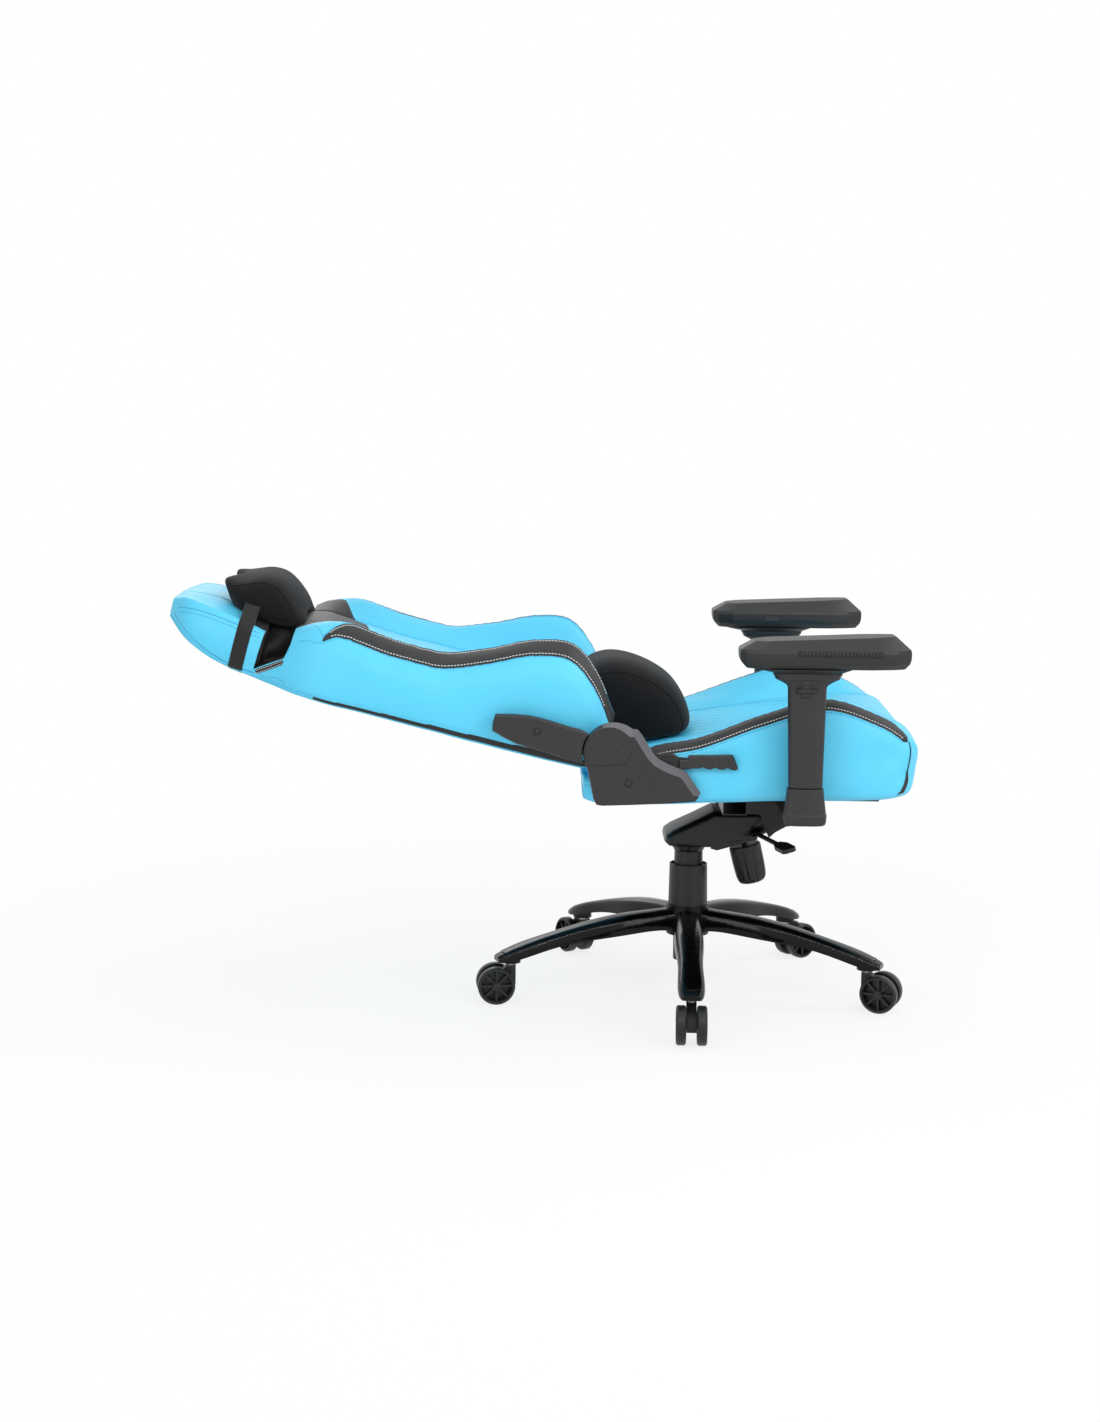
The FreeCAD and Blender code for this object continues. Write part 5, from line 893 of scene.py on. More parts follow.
def trim_patch(name, skin, strips, material, lift_mm=0.9, across=5):
    """Leather trims laid on a cover between two lines, seen from one side; their rims sink into it."""
    vertices, faces = [], []
    for side, first, second in strips:
        a, b = along_line(first, 4), along_line(second, 4)
        rows = max(len(a), len(b))
        a, b = [read_line(np.linspace(0, 1, rows), np.linspace(0, 1, len(line)), line) for line in (a, b)]
        base = len(vertices)
        for row in range(rows):
            targets = [a[row] + (b[row] - a[row]) * share for share in np.linspace(0, 1, across)]
            places, normals = from_side(skin, side, targets)
            for k, (place, normal) in enumerate(zip(places, normals)):
                rim = k in (0, across - 1) or row in (0, rows - 1)
                vertices.append(place + normal * (-0.4 if rim else lift_mm) * MM)
        faces += [(base + row * across + k, base + row * across + k + 1, base + (row + 1) * across + k + 1,
                   base + (row + 1) * across + k) for row in range(rows - 1) for k in range(across - 1)]
    return dress(piece(name, vertices, faces), material)


seat_skin, back_skin = skin_of(seat_cover), skin_of(back_cover)
front_line = along_line([(0, y * MM, z * MM) for y, z in
                         ((-343, 484), (-346, 470), (-344, 446), (-338, 414), (-326, 392))])
corner_a = [(0, y * MM, z * MM) for y, z in ((-342, 436), (-337, 412), (-322, 392))]
corner_b = [(0, y * MM, z * MM) for y, z in ((-343.5, 436), (-346, 416), (-338, 396))]
rim_top = [on_back(0, s, t) for s, t in ((563, 4), (580, -9), (596, -21), (608, -30))]
rim_low = [on_back(0, s, t) for s, t in ((558, -4), (575, -18), (591, -30), (603, -38))]
head_upper = along_line([on_back(0, s, t) for s, t in ((612, 29), (650, 33), (700, 38), (740, 37), (764, 30))])
head_lower = along_line([on_back(0, s, t) for s, t in ((604, -36), (650, -34), (700, -19), (745, 4), (768, 20))])
neck_seam = along_line([on_back(0, s, t) for s, t in ((603, -34), (585, -36), (560, -30), (548, -38))])
seat_piping, seat_corners, rims, head_threads, rim_threads = [], [], [], [], []
for side in SIDES.values():
    seat_piping.append(from_side(seat_skin, side, front_line))
    seat_corners.append((side, corner_a, corner_b))
    rims.append((side, rim_top, rim_low))
    for line in (head_upper, head_upper + np.array([0, 0, -0.007]), head_lower, neck_seam):
        head_threads.append(from_side(back_skin, side, line))
    for share in (0.3, 0.75):
        between = [np.array(a) + (np.array(b) - np.array(a)) * share for a, b in zip(rim_top, rim_low)]
        middle = along_line(between, 3)
        places, normals = from_side(back_skin, side, middle)
        rim_threads.append((places + normals * 0.9 * MM, normals))
trims = {
    "seat": [cord_mesh("seat_front_piping", seat_piping, 1.1, black_leather),
             cord_mesh("seat_crest_welts", seat_welts, 1.9, black_leather),
             trim_patch("seat_corner_patches", seat_skin, seat_corners, black_leather)],
    "back": [trim_patch("belt_opening_edges", back_skin, rims, black_leather),
             cord_mesh("back_crest_welts", back_welts, 1.9, black_leather),
             stitches("belt_opening_stitching", rim_threads, white_thread),
             stitches("head_stitching", head_threads, blue_thread),
             cord_mesh("head_seams", head_threads[0::4] + head_threads[2::4], 0.6, blue_thread, sunk=0.6)],
}
print("trims", {body: [each.name for each in made] for body, made in trims.items()})

# %% [markdown]
# Each cover now stands for its foam block and moves with the steel under it: the seat with the seat frame,
# the back with the back frame.

# %% Covers ride on their frames
for cover, body, node, slot_name in ((seat_cover, "seat", "seat_cushion", "blue_leather"),
                                     (back_cover, "back", "back_cushion", "blue_leather")):
    for polygon in cover.data.polygons:
        polygon.use_smooth = True
    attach(cover, body)
    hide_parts(node)
for body in ("seat", "back"):
    for sewn_on in threads[body] + trims[body]:
        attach(sewn_on, body)

# %% [markdown]
# Both pillows are velour bags of fibre. Each starts as a loft of its side profile across the chair, is
# remeshed to even 6 mm cells, and is then inflated by the cloth solver with its two side seams held.


# %% Pillows
def pillow_rings(profile, half, dip, droop, steps=25):
    """Rings across the chair; both ends shrink, and the head side of the middle may dip."""
    shape = rounded_line(profile, 6, closed=True)
    middle, low = shape.mean(axis=0), shape[:, 1].min()
    rings = []
    for share in np.sin(np.linspace(-math.pi / 2, math.pi / 2, steps)):
        end = (1 - abs(share) ** 4.5 * 0.985) ** 0.5
        points = shape.copy()
        forward = points[:, 0] > middle[0]
        kept = 1 - dip * math.exp(-(share / 0.36) ** 2)
        points[forward, 0] = middle[0] + (points[forward, 0] - middle[0]) * kept
        points[:, 0] = middle[0] + (points[:, 0] - middle[0]) * (0.35 + 0.65 * end)
        high = points[:, 1].max()
        sag = droop * min(1.0, abs(share) / 0.65) ** 2 * (high - points[:, 1]) / (high - low)
        points[:, 1] = low + (points[:, 1] - sag - low) * (0.3 + 0.7 * end)
        rings.append(on_back(np.full(len(points), half * share), points[:, 0], points[:, 1]))
    return np.array(rings)


EAR_REACH = (34, 17, 15)


def pull_corners(bag, ears):
    """Draws out sewn corners: each ear is (x, s, t, pull along s, pull along t), in mm, on both sides."""
    along, outwards = (unit(on_back(0, *way) - on_back(0, 0, 0)) for way in ((1, 0), (0, 1)))
    for vertex in bag.data.vertices:
        place = np.array(vertex.co)
        for x, s, t, pull_s, pull_t in ears:
            from_ear = place - on_back(0, s, t)
            away = np.array([abs(place[0]) / MM - x, *(from_ear @ way / MM for way in (along, outwards))])
            share = math.exp(-((away[0] / EAR_REACH[0]) ** 2 + (away[1] / EAR_REACH[1]) ** 2
                               + (away[2] / EAR_REACH[2]) ** 2))
            vertex.co += Vector((along * pull_s + outwards * pull_t) * share * MM)


PILLOW_CELL_MM, SEAM_CATCH_MM, HELD_PERCENT = 6, 3.2, 12


def make_pillow(name, profile, half, dip, droop, seam_share, puff_mm, shrink_mm=3.0, ears=()):
    """A remeshed, inflated velour pillow and the piping along its side seams."""
    rings = pillow_rings(profile, half - shrink_mm, dip, droop)
    centres = rings.mean(axis=1, keepdims=True)
    rings = centres + (rings - centres) * (1 - shrink_mm * MM / 0.05)
    bag = join_rings(name, rings, lambda row, column: 0, 0, (3 * MM, 3 * MM))
    remesh = bag.modifiers.new("Even", "REMESH")
    remesh.mode, remesh.voxel_size = "VOXEL", PILLOW_CELL_MM * MM
    even = work_in(bag).data
    places = np.array([v.co for v in even.vertices])
    seam = np.nonzero(abs(abs(places[:, 0]) - half * seam_share * MM) < SEAM_CATCH_MM * MM)[0]
    height = places @ np.array([0, -math.sin(LEAN), math.cos(LEAN)])
    low_side = np.nonzero(height < np.percentile(height, HELD_PERCENT))[0]
    swell(bag, set(seam) | set(low_side), puff_mm, pressure=5.0)
    smooth = bag.modifiers.new("Soft", "SMOOTH")
    smooth.factor, smooth.iterations = 0.5, 3
    finer = bag.modifiers.new("Finer", "SUBSURF")
    finer.levels = finer.render_levels = 1
    final = work_in(bag).data
    pull_corners(bag, ears)
    for polygon in final.polygons:
        polygon.use_smooth = True
    dress(bag, black_velour)
    skin = skin_of(bag)
    seams = []
    for side in (-1, 1):
        centre = places.mean(axis=0)
        centre[0] = side * half * seam_share * MM
        line, normals = [], []
        for turn in np.linspace(0, 2 * math.pi, 72):
            way = Vector((0, math.cos(turn), math.sin(turn)))
            place, normal, _, _ = skin.ray_cast(Vector(centre) + way * 0.4, -way)
            if place is not None:
                line.append(np.array(place))
                normals.append(np.array(normal))
        seams.append((np.array(line), np.array(normals)))
    piping = cord_mesh(f"{name}_piping", seams, 1.1, black_velour, sunk=0.4)
    print(name, "vertices", len(final.vertices), "seam points", [len(line) for line, _ in seams])
    return bag, piping


NECK_PROFILE = [(549, 68), (562, 61.5), (610, 60.5), (652, 61), (680, 70), (698, 86), (705, 97), (697, 103),
                (674, 110), (638, 121), (606, 119), (570, 99), (552, 80)]
LUMBAR_PROFILE = [(-135, 43), (-106, 27.5), (-60, 9), (-14, 18), (42, 51), (76, 75), (75, 103), (42, 129),
                  (-14, 135), (-86, 115), (-128, 72)]
neck_pillow, neck_piping = make_pillow("neck_pillow_velour", NECK_PROFILE, 139, 0.24, 23.0, 0.84, 7,
                                        ears=((96, 697, 97, 11, 4), (96, 552, 58, -11, -3)))
lumbar_pillow, lumbar_piping = make_pillow("lumbar_pillow_velour", LUMBAR_PROFILE, 139, 0.0, 0.0, 0.79, 7)
for bag, piping, body, node in ((neck_pillow, neck_piping, "back", "neck_pillow"),
                                (lumbar_pillow, lumbar_piping, "lumbar_pillow", "lumbar_pillow")):
    for each in (bag, piping):
        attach(each, body)
    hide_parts(node)

# %% [markdown]
# The neck pillow hangs on a flat elastic band that goes round the head. Its line is found on the head by
# looking in from all round at one height, so it lies on the leather; it is 26 mm wide and ribbed along.


# %% Elastic band and belts
BAND_POINTS = 110


def taut_section(s_at, anchor):
    """The line of a taut band at one height of the head, in (x, t): a hull round the head and two anchors."""
    centre = on_back(0, s_at, 12)
    up = unit(on_back(0, s_at, 112) - centre)
    touched = [(-anchor[0], anchor[1]), anchor]
    for turn in np.radians(np.arange(-110, 111, 3)):
        way = Vector(-up * math.cos(turn)) + Vector((math.sin(turn), 0, 0))
        place = back_skin.ray_cast(Vector(centre) + way * 0.4, -way)[0]
        offset = np.array(place) - centre
        touched.append((offset[0] / MM, 12 + offset @ up / MM))
    chains = []
    for points in (sorted(touched), sorted(touched, reverse=True)):
        chain = []
        for point in points:
            while len(chain) > 1 and ((chain[-1][0] - chain[-2][0]) * (point[1] - chain[-1][1])
                                      <= (chain[-1][1] - chain[-2][1]) * (point[0] - chain[-1][0])):
                chain.pop()
            chain.append(point)
        chains += chain[:-1]
    start = chains.index((-anchor[0], anchor[1]))
    turned = chains[start:] + chains[:start]
    line = np.array(turned[:turned.index(anchor) + 1], float)
    reach = reach_along(line)
    return read_line(np.linspace(0, reach[-1], BAND_POINTS), reach, line)


def flat_band(name, path, normals, along, width_mm, thick_mm, material, ribs=3):
    """A ribbon with rounded edges along a path; along holds the direction of its width."""
    section = [(-0.5, 0.3), (-0.46, 0.9)]
    section += [(-0.4 + 0.8 * k / (2 * ribs), 1.0 if k % 2 else 0.86) for k in range(2 * ribs + 1)]
    section += [(0.46, 0.9), (0.5, 0.3), (0.46, 0.05), (-0.46, 0.05)]
    vertices = [point + way * width_mm * MM * across + normal * (0.35 + thick_mm * lift) * MM
                for point, normal, way in zip(path, normals, along) for across, lift in section]
    return dress(piece(name, vertices, tube_faces(len(path), len(section))), material)


BAND_LOW_EDGE, BAND_HIGH_EDGE, BAND_ANCHOR = 627, 653, (134.0, 70.0)
edges_of_band = [taut_section(s_at, BAND_ANCHOR) for s_at in (BAND_LOW_EDGE, BAND_HIGH_EDGE)]
outline = (edges_of_band[0] + edges_of_band[1]) / 2
band_path = on_back(outline[:, 0], (BAND_LOW_EDGE + BAND_HIGH_EDGE) / 2, outline[:, 1])
half_ways = (on_back(edges_of_band[1][:, 0], BAND_HIGH_EDGE, edges_of_band[1][:, 1])
             - on_back(edges_of_band[0][:, 0], BAND_LOW_EDGE, edges_of_band[0][:, 1]))
band_ways = half_ways / np.linalg.norm(half_ways, axis=1, keepdims=True)
forward = np.gradient(band_path, axis=0)
band_normals = np.cross(band_ways, forward)
band_normals /= np.linalg.norm(band_normals, axis=1, keepdims=True)
band_normals *= np.sign((band_normals * (band_path - band_path.mean(axis=0))).sum())
strap = flat_band("neck_elastic", band_path, band_normals, band_ways, 26, 1.5, black_elastic)
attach(strap, "back")
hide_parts("neck_strap")
print("band points", len(band_path), "from x", round(float(band_path[0][0]), 3))

# %% [markdown]
# Under the foam, woven belts carry the sitter: five across the seat and a set across the back. They are
# flat, edge-bound ribbons that sag a little under the foam.

# %% Belts under the foam
BELT_SECTION = ((-0.5, 0.5), (-0.44, 1), (-0.2, 0.8), (0, 1), (0.2, 0.8), (0.44, 1), (0.5, 0.5),
                (0.44, 0), (0, 0.1), (-0.44, 0))
SEAT_BELTS, BELT_ROWS, SEAT_SAG_MM = 5, 33, 1.2
seat_low, seat_high = (np.array(corner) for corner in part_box("seat_webbing"))
belt_width = (seat_high[0] - seat_low[0]) / 7
vertices, faces = [], []
for number in range(SEAT_BELTS):
    middle_x = seat_low[0] + belt_width * (0.5 + 1.5 * number)
    faces += tube_faces(BELT_ROWS, len(BELT_SECTION), len(vertices))
    for along in np.linspace(0, 1, BELT_ROWS):
        y = seat_low[1] + (seat_high[1] - seat_low[1]) * along
        sag = SEAT_SAG_MM * MM * math.sin(math.pi * along)
        for across, lift in BELT_SECTION:
            vertices.append((middle_x + belt_width * across, y,
                             seat_low[2] + (seat_high[2] - seat_low[2]) * lift - sag))
seat_belts = dress(piece("seat_belts", vertices, faces), webbing)
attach(seat_belts, "seat")
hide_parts("seat_webbing")
BACK_BELTS, BACK_BELT_HALF, BACK_BELT_POINTS = (131, 215, 293.3, 371.7, 450), 205, 41
across_back = np.linspace(-BACK_BELT_HALF, BACK_BELT_HALF, BACK_BELT_POINTS)
ways, outwards = (np.tile(unit(on_back(0, *way) - on_back(0, 0, 0)), (BACK_BELT_POINTS, 1))
                  for way in ((1, 0), (0, 1)))
for number, s_middle in enumerate(BACK_BELTS):
    belt_path = on_back(across_back, s_middle, -15 - 1.5 * np.cos(across_back / BACK_BELT_HALF * math.pi / 2))
    back_belt = flat_band(f"back_belt_{number + 1}", belt_path, outwards, ways, 40, 1.6, webbing, ribs=6)
    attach(back_belt, "back")
    if number == 0:
        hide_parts("back_webbing")
print("seat belts", len(seat_belts.data.polygons), "faces")

# %% [markdown]
# Moulded parts: a mould can't make a sharp edge, so every edge here is eased by a bevel of half a
# millimetre to two. The shapes are lofts: a few outlines of the same number of points, joined and capped.


# %% Lofts with eased edges
def ease_edges(made, width_mm, segments=3, angle=15):
    """Bevels the sharp edges of a piece and keeps the result, flat faces staying flat."""
    bevel = made.modifiers.new("Ease", "BEVEL")
    bevel.width, bevel.segments = width_mm * MM, segments
    bevel.limit_method, bevel.angle_limit = "ANGLE", math.radians(angle)
    bevel.harden_normals = True
    return work_in(made)


def loft(name, rings, material, ease_mm=0.8, segments=3):
    """A closed body through outlines that have the same number of points, with flat ends."""
    vertices = [point for ring in rings for point in ring]
    faces = tube_faces(len(rings), len(rings[0]))
    return ease_edges(dress(piece(name, vertices, faces), material), ease_mm, segments)


def side_ring(x, outline):
    """An outline in (y, z), in mm, at a distance x from the middle; x carries the side's sign."""
    return [(x * MM, y * MM, z * MM) for y, z in outline]


def arc(centre, radius, start, end, steps):
    return [(centre[0] + radius * math.cos(math.radians(turn)), centre[1] + radius * math.sin(math.radians(turn)))
            for turn in np.linspace(start, end, steps)]


def pulled_in(outline, distances):
    """Each corner of a closed outline moved inwards, square to its neighbours, by its own distance."""
    corners = np.array(outline, float)
    before, after = np.roll(corners, 1, axis=0), np.roll(corners, -1, axis=0)
    ways = after - before
    inwards = np.stack([-ways[:, 1], ways[:, 0]], axis=1)
    inwards /= np.linalg.norm(inwards, axis=1, keepdims=True)
    area = np.sum(corners[:, 0] * after[:, 1] - corners[:, 1] * after[:, 0])
    return corners + inwards * np.sign(area) * np.broadcast_to(distances, len(corners))[:, None]


# %% [markdown]
# The recliner cover is a fin-shaped shell over the hinge. A broad bevel runs down its front edge, and a
# round cap hides its screw. The arm cover behind it turns with the backrest; its tongue lies over the hinge.

# %% Recliner covers
PIVOT = (143.0, 464.0)
FIN = (arc(PIVOT, 50, -32, 128, 22) + [(104, 503), (96, 493), (88, 480), (78, 464), (69, 455), (52, 446),
       (39, 441), (30, 438), (22, 432), (11, 416), (0, 400), (3, 393), (8, 385.5), (60, 382), (110, 379.5),
       (160, 377.5), (170, 379), (175, 388), (180, 412)])
FIN_BEVEL = [1.0] * 11 + [1.0 + step for step in range(1, 12)] + [12.0] * 11 + [8.0, 4.0] + [1.2] * 6
ARM_COVER = (arc(PIVOT, 51.2, 38, -20, 12) + [(228, 456), (262, 466), (302, 478), (322, 488), (341, 499),
             (340, 513), (336, 526), (308, 526), (279, 524), (246, 516), (213, 506), (196, 502)])
ARM_BEVEL = [0.7] * 12 + [3.0] * 12
TONGUE = [(173, 496), (163, 496), (144, 485), (123, 472), (116, 464), (121, 448), (150, 444.5), (186, 444.5),
          (190, 458), (189, 474), (183, 487)]


def screw_cap(name, x, side, y, z, radius, material):
    """A shallow round cap with a deep rim line, as covers a countersunk screw."""
    rings = [side_ring(side * (x + out), arc((y, z), r, 0, 348.75, 32))
             for out, r in ((-1.0, radius), (0.9, radius), (1.3, radius - 0.7), (0.1, radius - 1.3),
                            (0.1, radius - 2.1), (1.4, radius - 2.8), (1.6, radius - 4))]
    return loft(name, rings, material, 0.1, 1)


for side_name, side in SIDES.items():
    fin = loft(f"fin_cover_{side_name}",
               [side_ring(side * 277.4, FIN), side_ring(side * 281.0, FIN),
                side_ring(side * 291.6, pulled_in(FIN, FIN_BEVEL))], grey_plastic, 0.9)
    # Bevel faces that look up and forward take the lighter grey: a painted highlight where the lamps above and in
    # front would fall.
    fin.data.materials.append(bevel_highlight_plastic)
    for face in fin.data.polygons:
        if 0.3 < abs(face.normal.x) < 0.93 and face.center.z > 0.396 and face.normal.y < 0.3:
            face.material_index = len(fin.data.materials) - 1
    cap = screw_cap(f"fin_screw_cap_{side_name}", 291.6, side, 118, 416, 7, grey_plastic)
    cover = loft(f"back_arm_shell_{side_name}",
                 [side_ring(side * 277.6, ARM_COVER), side_ring(side * 287.5, ARM_COVER),
                  side_ring(side * 291.6, pulled_in(ARM_COVER, ARM_BEVEL))], grey_plastic, 0.9)
    tongue = loft(f"hinge_tongue_{side_name}",
                  [side_ring(side * 291.7, TONGUE), side_ring(side * 292.7, TONGUE),
                   side_ring(side * 294.0, pulled_in(TONGUE, 1.7))], grey_plastic, 0.3, 2)
    back_cap = screw_cap(f"back_arm_screw_cap_{side_name}", 291.6, side, 268, 500, 7, grey_plastic)
    for each, body in ((fin, "seat"), (cap, "seat"), (cover, "back"), (tongue, "back"), (back_cap, "back")):
        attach(each, body)
    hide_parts(f"recliner_cover_{side_name}")
    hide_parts(f"back_arm_cover_{side_name}")
print("fin outline", len(FIN), "bevels", len(FIN_BEVEL), "arm cover", len(ARM_COVER))

# %% [markdown]
# The recline lever ends in a moulded grip: a step where it meets the bar, a slanted end and finger waves
# underneath. Its root is a rounded black boss.

# %% Recline lever
GRIP = [(36, 453.5), (22, 454), (20, 460.5), (-29, 461.5), (-51, 462), (-54, 459), (-61, 440), (-57, 436.8),
        (-50, 437.6), (-44, 441), (-37, 438), (-30, 438), (-24, 441.4), (-17, 438.4), (-10, 438.4), (-4, 441.6),
        (3, 439.4), (12, 439.6), (20, 438), (36, 438)]
ROOT = [(74, 455), (68, 462), (58, 465), (46, 464), (37, 458), (33.5, 449), (35, 440), (42, 436.5),
        (54, 438), (66, 446)]
lever_low, lever_high = (np.array(corner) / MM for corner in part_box("recline_lever_grip"))
grip_in, grip_out = lever_high[0], lever_low[0]
grip_piece = loft("recline_grip_shell", [side_ring(grip_in, pulled_in(GRIP, 1.5)), side_ring(grip_in - 2, GRIP),
                                         side_ring(grip_out + 2.5, GRIP), side_ring(grip_out, pulled_in(GRIP, 2.0))],
                  grey_plastic, 0.6)
root_piece = loft("recline_lever_root", [side_ring(-269.5, pulled_in(ROOT, 2.0)), side_ring(-271, ROOT),
                                         side_ring(-275.2, ROOT), side_ring(-277.2, pulled_in(ROOT, 3.0))],
                  black_plastic, 0.6)
for each, slot_name in ((grip_piece, "grey_plastic"), (root_piece, "black_plastic")):
    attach(each, "recline_lever")
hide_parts("recline_lever_grip")
print("grip from x", round(float(grip_in), 1), "to", round(float(grip_out), 1))

# %% [markdown]
# The tilt mechanism sits in a pressed steel case under the seat. Its long edges are rounded, so the case is a
# loft across the chair whose outline shrinks towards both sides. Its neck holds the gas lift, and the knob
# that sets the spring hangs from a plate below; ten shallow flutes give the fingers hold.


# %% Mechanism case and knob
def round_ring(centre, way, radius_mm, steps=60, flutes=0, flute_mm=0.0):
    """A circle square to a direction; centre in mm. Flutes are shallow grooves round it."""
    way = unit(np.array(way, float))
    across = unit(np.cross(way, (1.0, 0.0, 0.0) if abs(way[0]) < 0.5 else (0.0, 0.0, 1.0)))
    up = np.cross(way, across)
    ring = []
    for turn in np.linspace(0, 2 * math.pi, steps, endpoint=False):
        radius = radius_mm - flute_mm * max(0.0, math.cos(flutes * turn)) ** 2
        ring.append(tuple((np.array(centre) + (across * math.cos(turn) + up * math.sin(turn)) * radius) * MM))
    return ring


CASE = [(-40, 326), (0, 306), (30, 292), (43, 283), (45, 273), (37, 265), (18, 263), (-33, 263), (-80, 273),
        (-113, 281), (-146, 296), (-162, 318), (-163, 342), (-142, 344), (-128, 328), (-84, 326)]
CASE_SIDES = ((-54.6, 8.5), (-53.2, 5.0), (-50, 2.2), (-44, 0.5), (-36, 0), (36, 0), (44, 0.5), (50, 2.2),
              (53.2, 5.0), (54.6, 8.5))
KNOB_PLATE = [(-36, 264), (-36, 259), (-47, 256), (-117, 276), (-117, 283)]
KNOB_TOP, KNOB_WAY = np.array([0.0, -95.0, 271.0]), np.array([0.0, -0.2334, -0.9724])
KNOB = ((3, 5, 0), (9.6, 5, 0), (10, 25, 0), (11.5, 27.2, 0), (15, 28, 0), (20, 28, 1.6), (44, 27.6, 2.2),
        (62, 26.6, 2.4), (70, 25, 2.2), (75, 22, 1.6), (77.2, 18.5, 0.8), (78, 14, 0))
case_piece = loft("mechanism_case", [side_ring(x, pulled_in(CASE, pull)) for x, pull in CASE_SIDES],
                  powder_coat, 1.2)
carve(case_piece, dress(loft("lever_hole_tool", [round_ring((x, -111, 291.5), (1, 0, 0), 7) for x in (-70, 70)],
                             powder_coat, 0.01, 1), powder_coat))
neck_piece = loft("mechanism_neck", [round_ring((0, 0, z), (0, 0, 1), r) for z, r in
                                     ((250, 24.6), (250.8, 25.4), (256, 28.5), (263, 32.4), (268, 33))],
                  powder_coat, 0.5)
plate_piece = loft("knob_plate", [side_ring(x, pulled_in(KNOB_PLATE, pull)) for x, pull in
                                  ((-36, 1.4), (-34.5, 0), (34.5, 0), (36, 1.4))], powder_coat, 0.8)
knob_piece = loft("tension_knob_grip", [round_ring(KNOB_TOP + KNOB_WAY * down, KNOB_WAY, radius, 80, 10, flute)
                                        for down, radius, flute in KNOB], black_plastic, 0.3, 2)
for each in (case_piece, neck_piece, plate_piece):
    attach(each, "mechanism")
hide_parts("mechanism_housing")
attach(knob_piece, "tension_knob")
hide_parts("tension_knob")
print("case faces", len(case_piece.data.polygons), "knob faces", len(knob_piece.data.polygons))

# %% [markdown]
# Behind the spokes of each caster wheel lies a dished dust disc, which closes the wheel towards the fork.
# Each wheel pair's own joint says which way its axle points.

# %% Dust discs in the wheels
DISC = ((9.7, 9), (10.3, 15), (9.9, 24.5), (10.2, 26.5), (11.3, 26.5), (11.7, 24), (12.3, 15), (12.9, 9))
for joint in frame["joints"]:
    wheels = joint["child"]
    if not wheels.startswith("caster_wheels_"):
        continue
    low_corner, high_corner = (np.array(corner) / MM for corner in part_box(wheels))
    hub, axle = (low_corner + high_corner) / 2, unit(np.array(joint["axis"], float))
    for hand, turned in (("left", 1), ("right", -1)):
        disc = loft(f"dust_disc_{wheels[14:]}_{hand}", [round_ring(hub + axle * turned * out, axle, radius)
                                                        for out, radius in DISC], nylon, 0.2, 1)
        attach(disc, wheels)
print("dust disc radius", DISC[3][1], "mm")

# %% [markdown]
# Each armrest is a stack: a socket bolted to the bracket, a sleeve that slides in it, a T-shaped head, a
# sliding plate, a turntable and the pad. Sleeve and socket are near-elliptical in plan, which gives them the
# soft shading of a bottle; their outline is a superellipse, halfway between an ellipse and a rectangle.

# %% Armrests
ARM_X, ARM_Y = 310.0, -167.0


def oval(height, long, deep, side, power=3.2, steps=48, shift=0.0):
    """A superellipse outline at one height of an armrest."""
    ring = []
    for turn in np.linspace(0, 2 * math.pi, steps, endpoint=False):
        c, s = math.cos(turn), math.sin(turn)
        ring.append(((side * ARM_X + deep / 2 * math.copysign(abs(c) ** (2 / power), c)) * MM,
                     (ARM_Y + shift + long / 2 * math.copysign(abs(s) ** (2 / power), s)) * MM, height * MM))
    return ring


def small_block(name, side, y_low, y_high, z_low, z_high, x_inner, x_outer, material, ease_mm=0.6):
    corners = [(y_low, z_low), (y_high, z_low), (y_high, z_high), (y_low, z_high)]
    rings = [side_ring(side * x_inner, corners), side_ring(side * (x_outer - 0.4), corners),
             side_ring(side * x_outer, pulled_in(corners, 0.5))]
    return loft(name, rings, material, ease_mm)


SOCKET = ((355.2, 62, 33), (356.5, 66, 36), (360, 69, 38.6), (371, 70.5, 39), (372.3, 70.5, 39), (373.5, 68.6, 38),
          (390, 64.5, 37.6), (408, 60, 37), (411, 59.8, 37), (414.5, 59.6, 37), (415.4, 58, 36))
PLATE = ((604.4, 113, 56, 0), (605.4, 117, 60, 0), (610.6, 154, 78, 6), (611.6, 157, 80, 6.5), (611.9, 156, 79, 6.5))
SLEEVE = ((416.2, 53, 30), (417, 55.5, 31.5), (460, 57.2, 32.6), (520, 59.8, 34.2), (570, 62.2, 36), (580, 63, 36.6))
HEAD = ((580, 63, 36.6), (584, 68, 38), (588, 80, 41), (592.5, 98, 46), (594, 104, 49), (598.5, 106, 51),
        (599, 109, 52), (603, 112, 54), (604, 111, 53.5))
PAD_LEVELS = ((612.3, 12, 1.0), (613, 10.5, 1.0), (621, 3.0, 1.0), (628, 0.6, 1.0), (638, 0.0, 0.95),
              (643, 1.2, 0.9), (654, 12.5, 0.25), (655.4, 14, 0.1), (656.2, 16, 0.0))
PAD_PLAN = [(-56.5, -22), (-56.5, 22), (-66, 34), (-92, 47.5), (-180, 48), (-268, 48), (-306, 40), (-331.5, 24),
            (-331.5, -24), (-306, -40), (-268, -48), (-180, -48), (-92, -47.5), (-66, -34)]
RIB_COUNT, RIB_FIRST, RIB_PITCH, RIB_LOW, RIB_HIGH = 22, -149, 6.0, 634, 643
RIB_FACE, RIB_RISE, RIB_ROOT = 48.9, 0.7, 2.0


def pad_ring(side, height, pull, slope):
    """One level of the pad; the top rises 9 mm towards the front, and its ends slope more than its sides."""
    plan = pulled_in(PAD_PLAN, pull)
    plan[:, 0] = -194 + (plan[:, 0] + 194) * (1 - max(0, pull - 4) / 125 * (height > 630))
    return [((side * ARM_X + x) * MM, y * MM,
             (height + (1 - slope) * 0.041 * (-76 - y)) * MM) for y, x in plan]


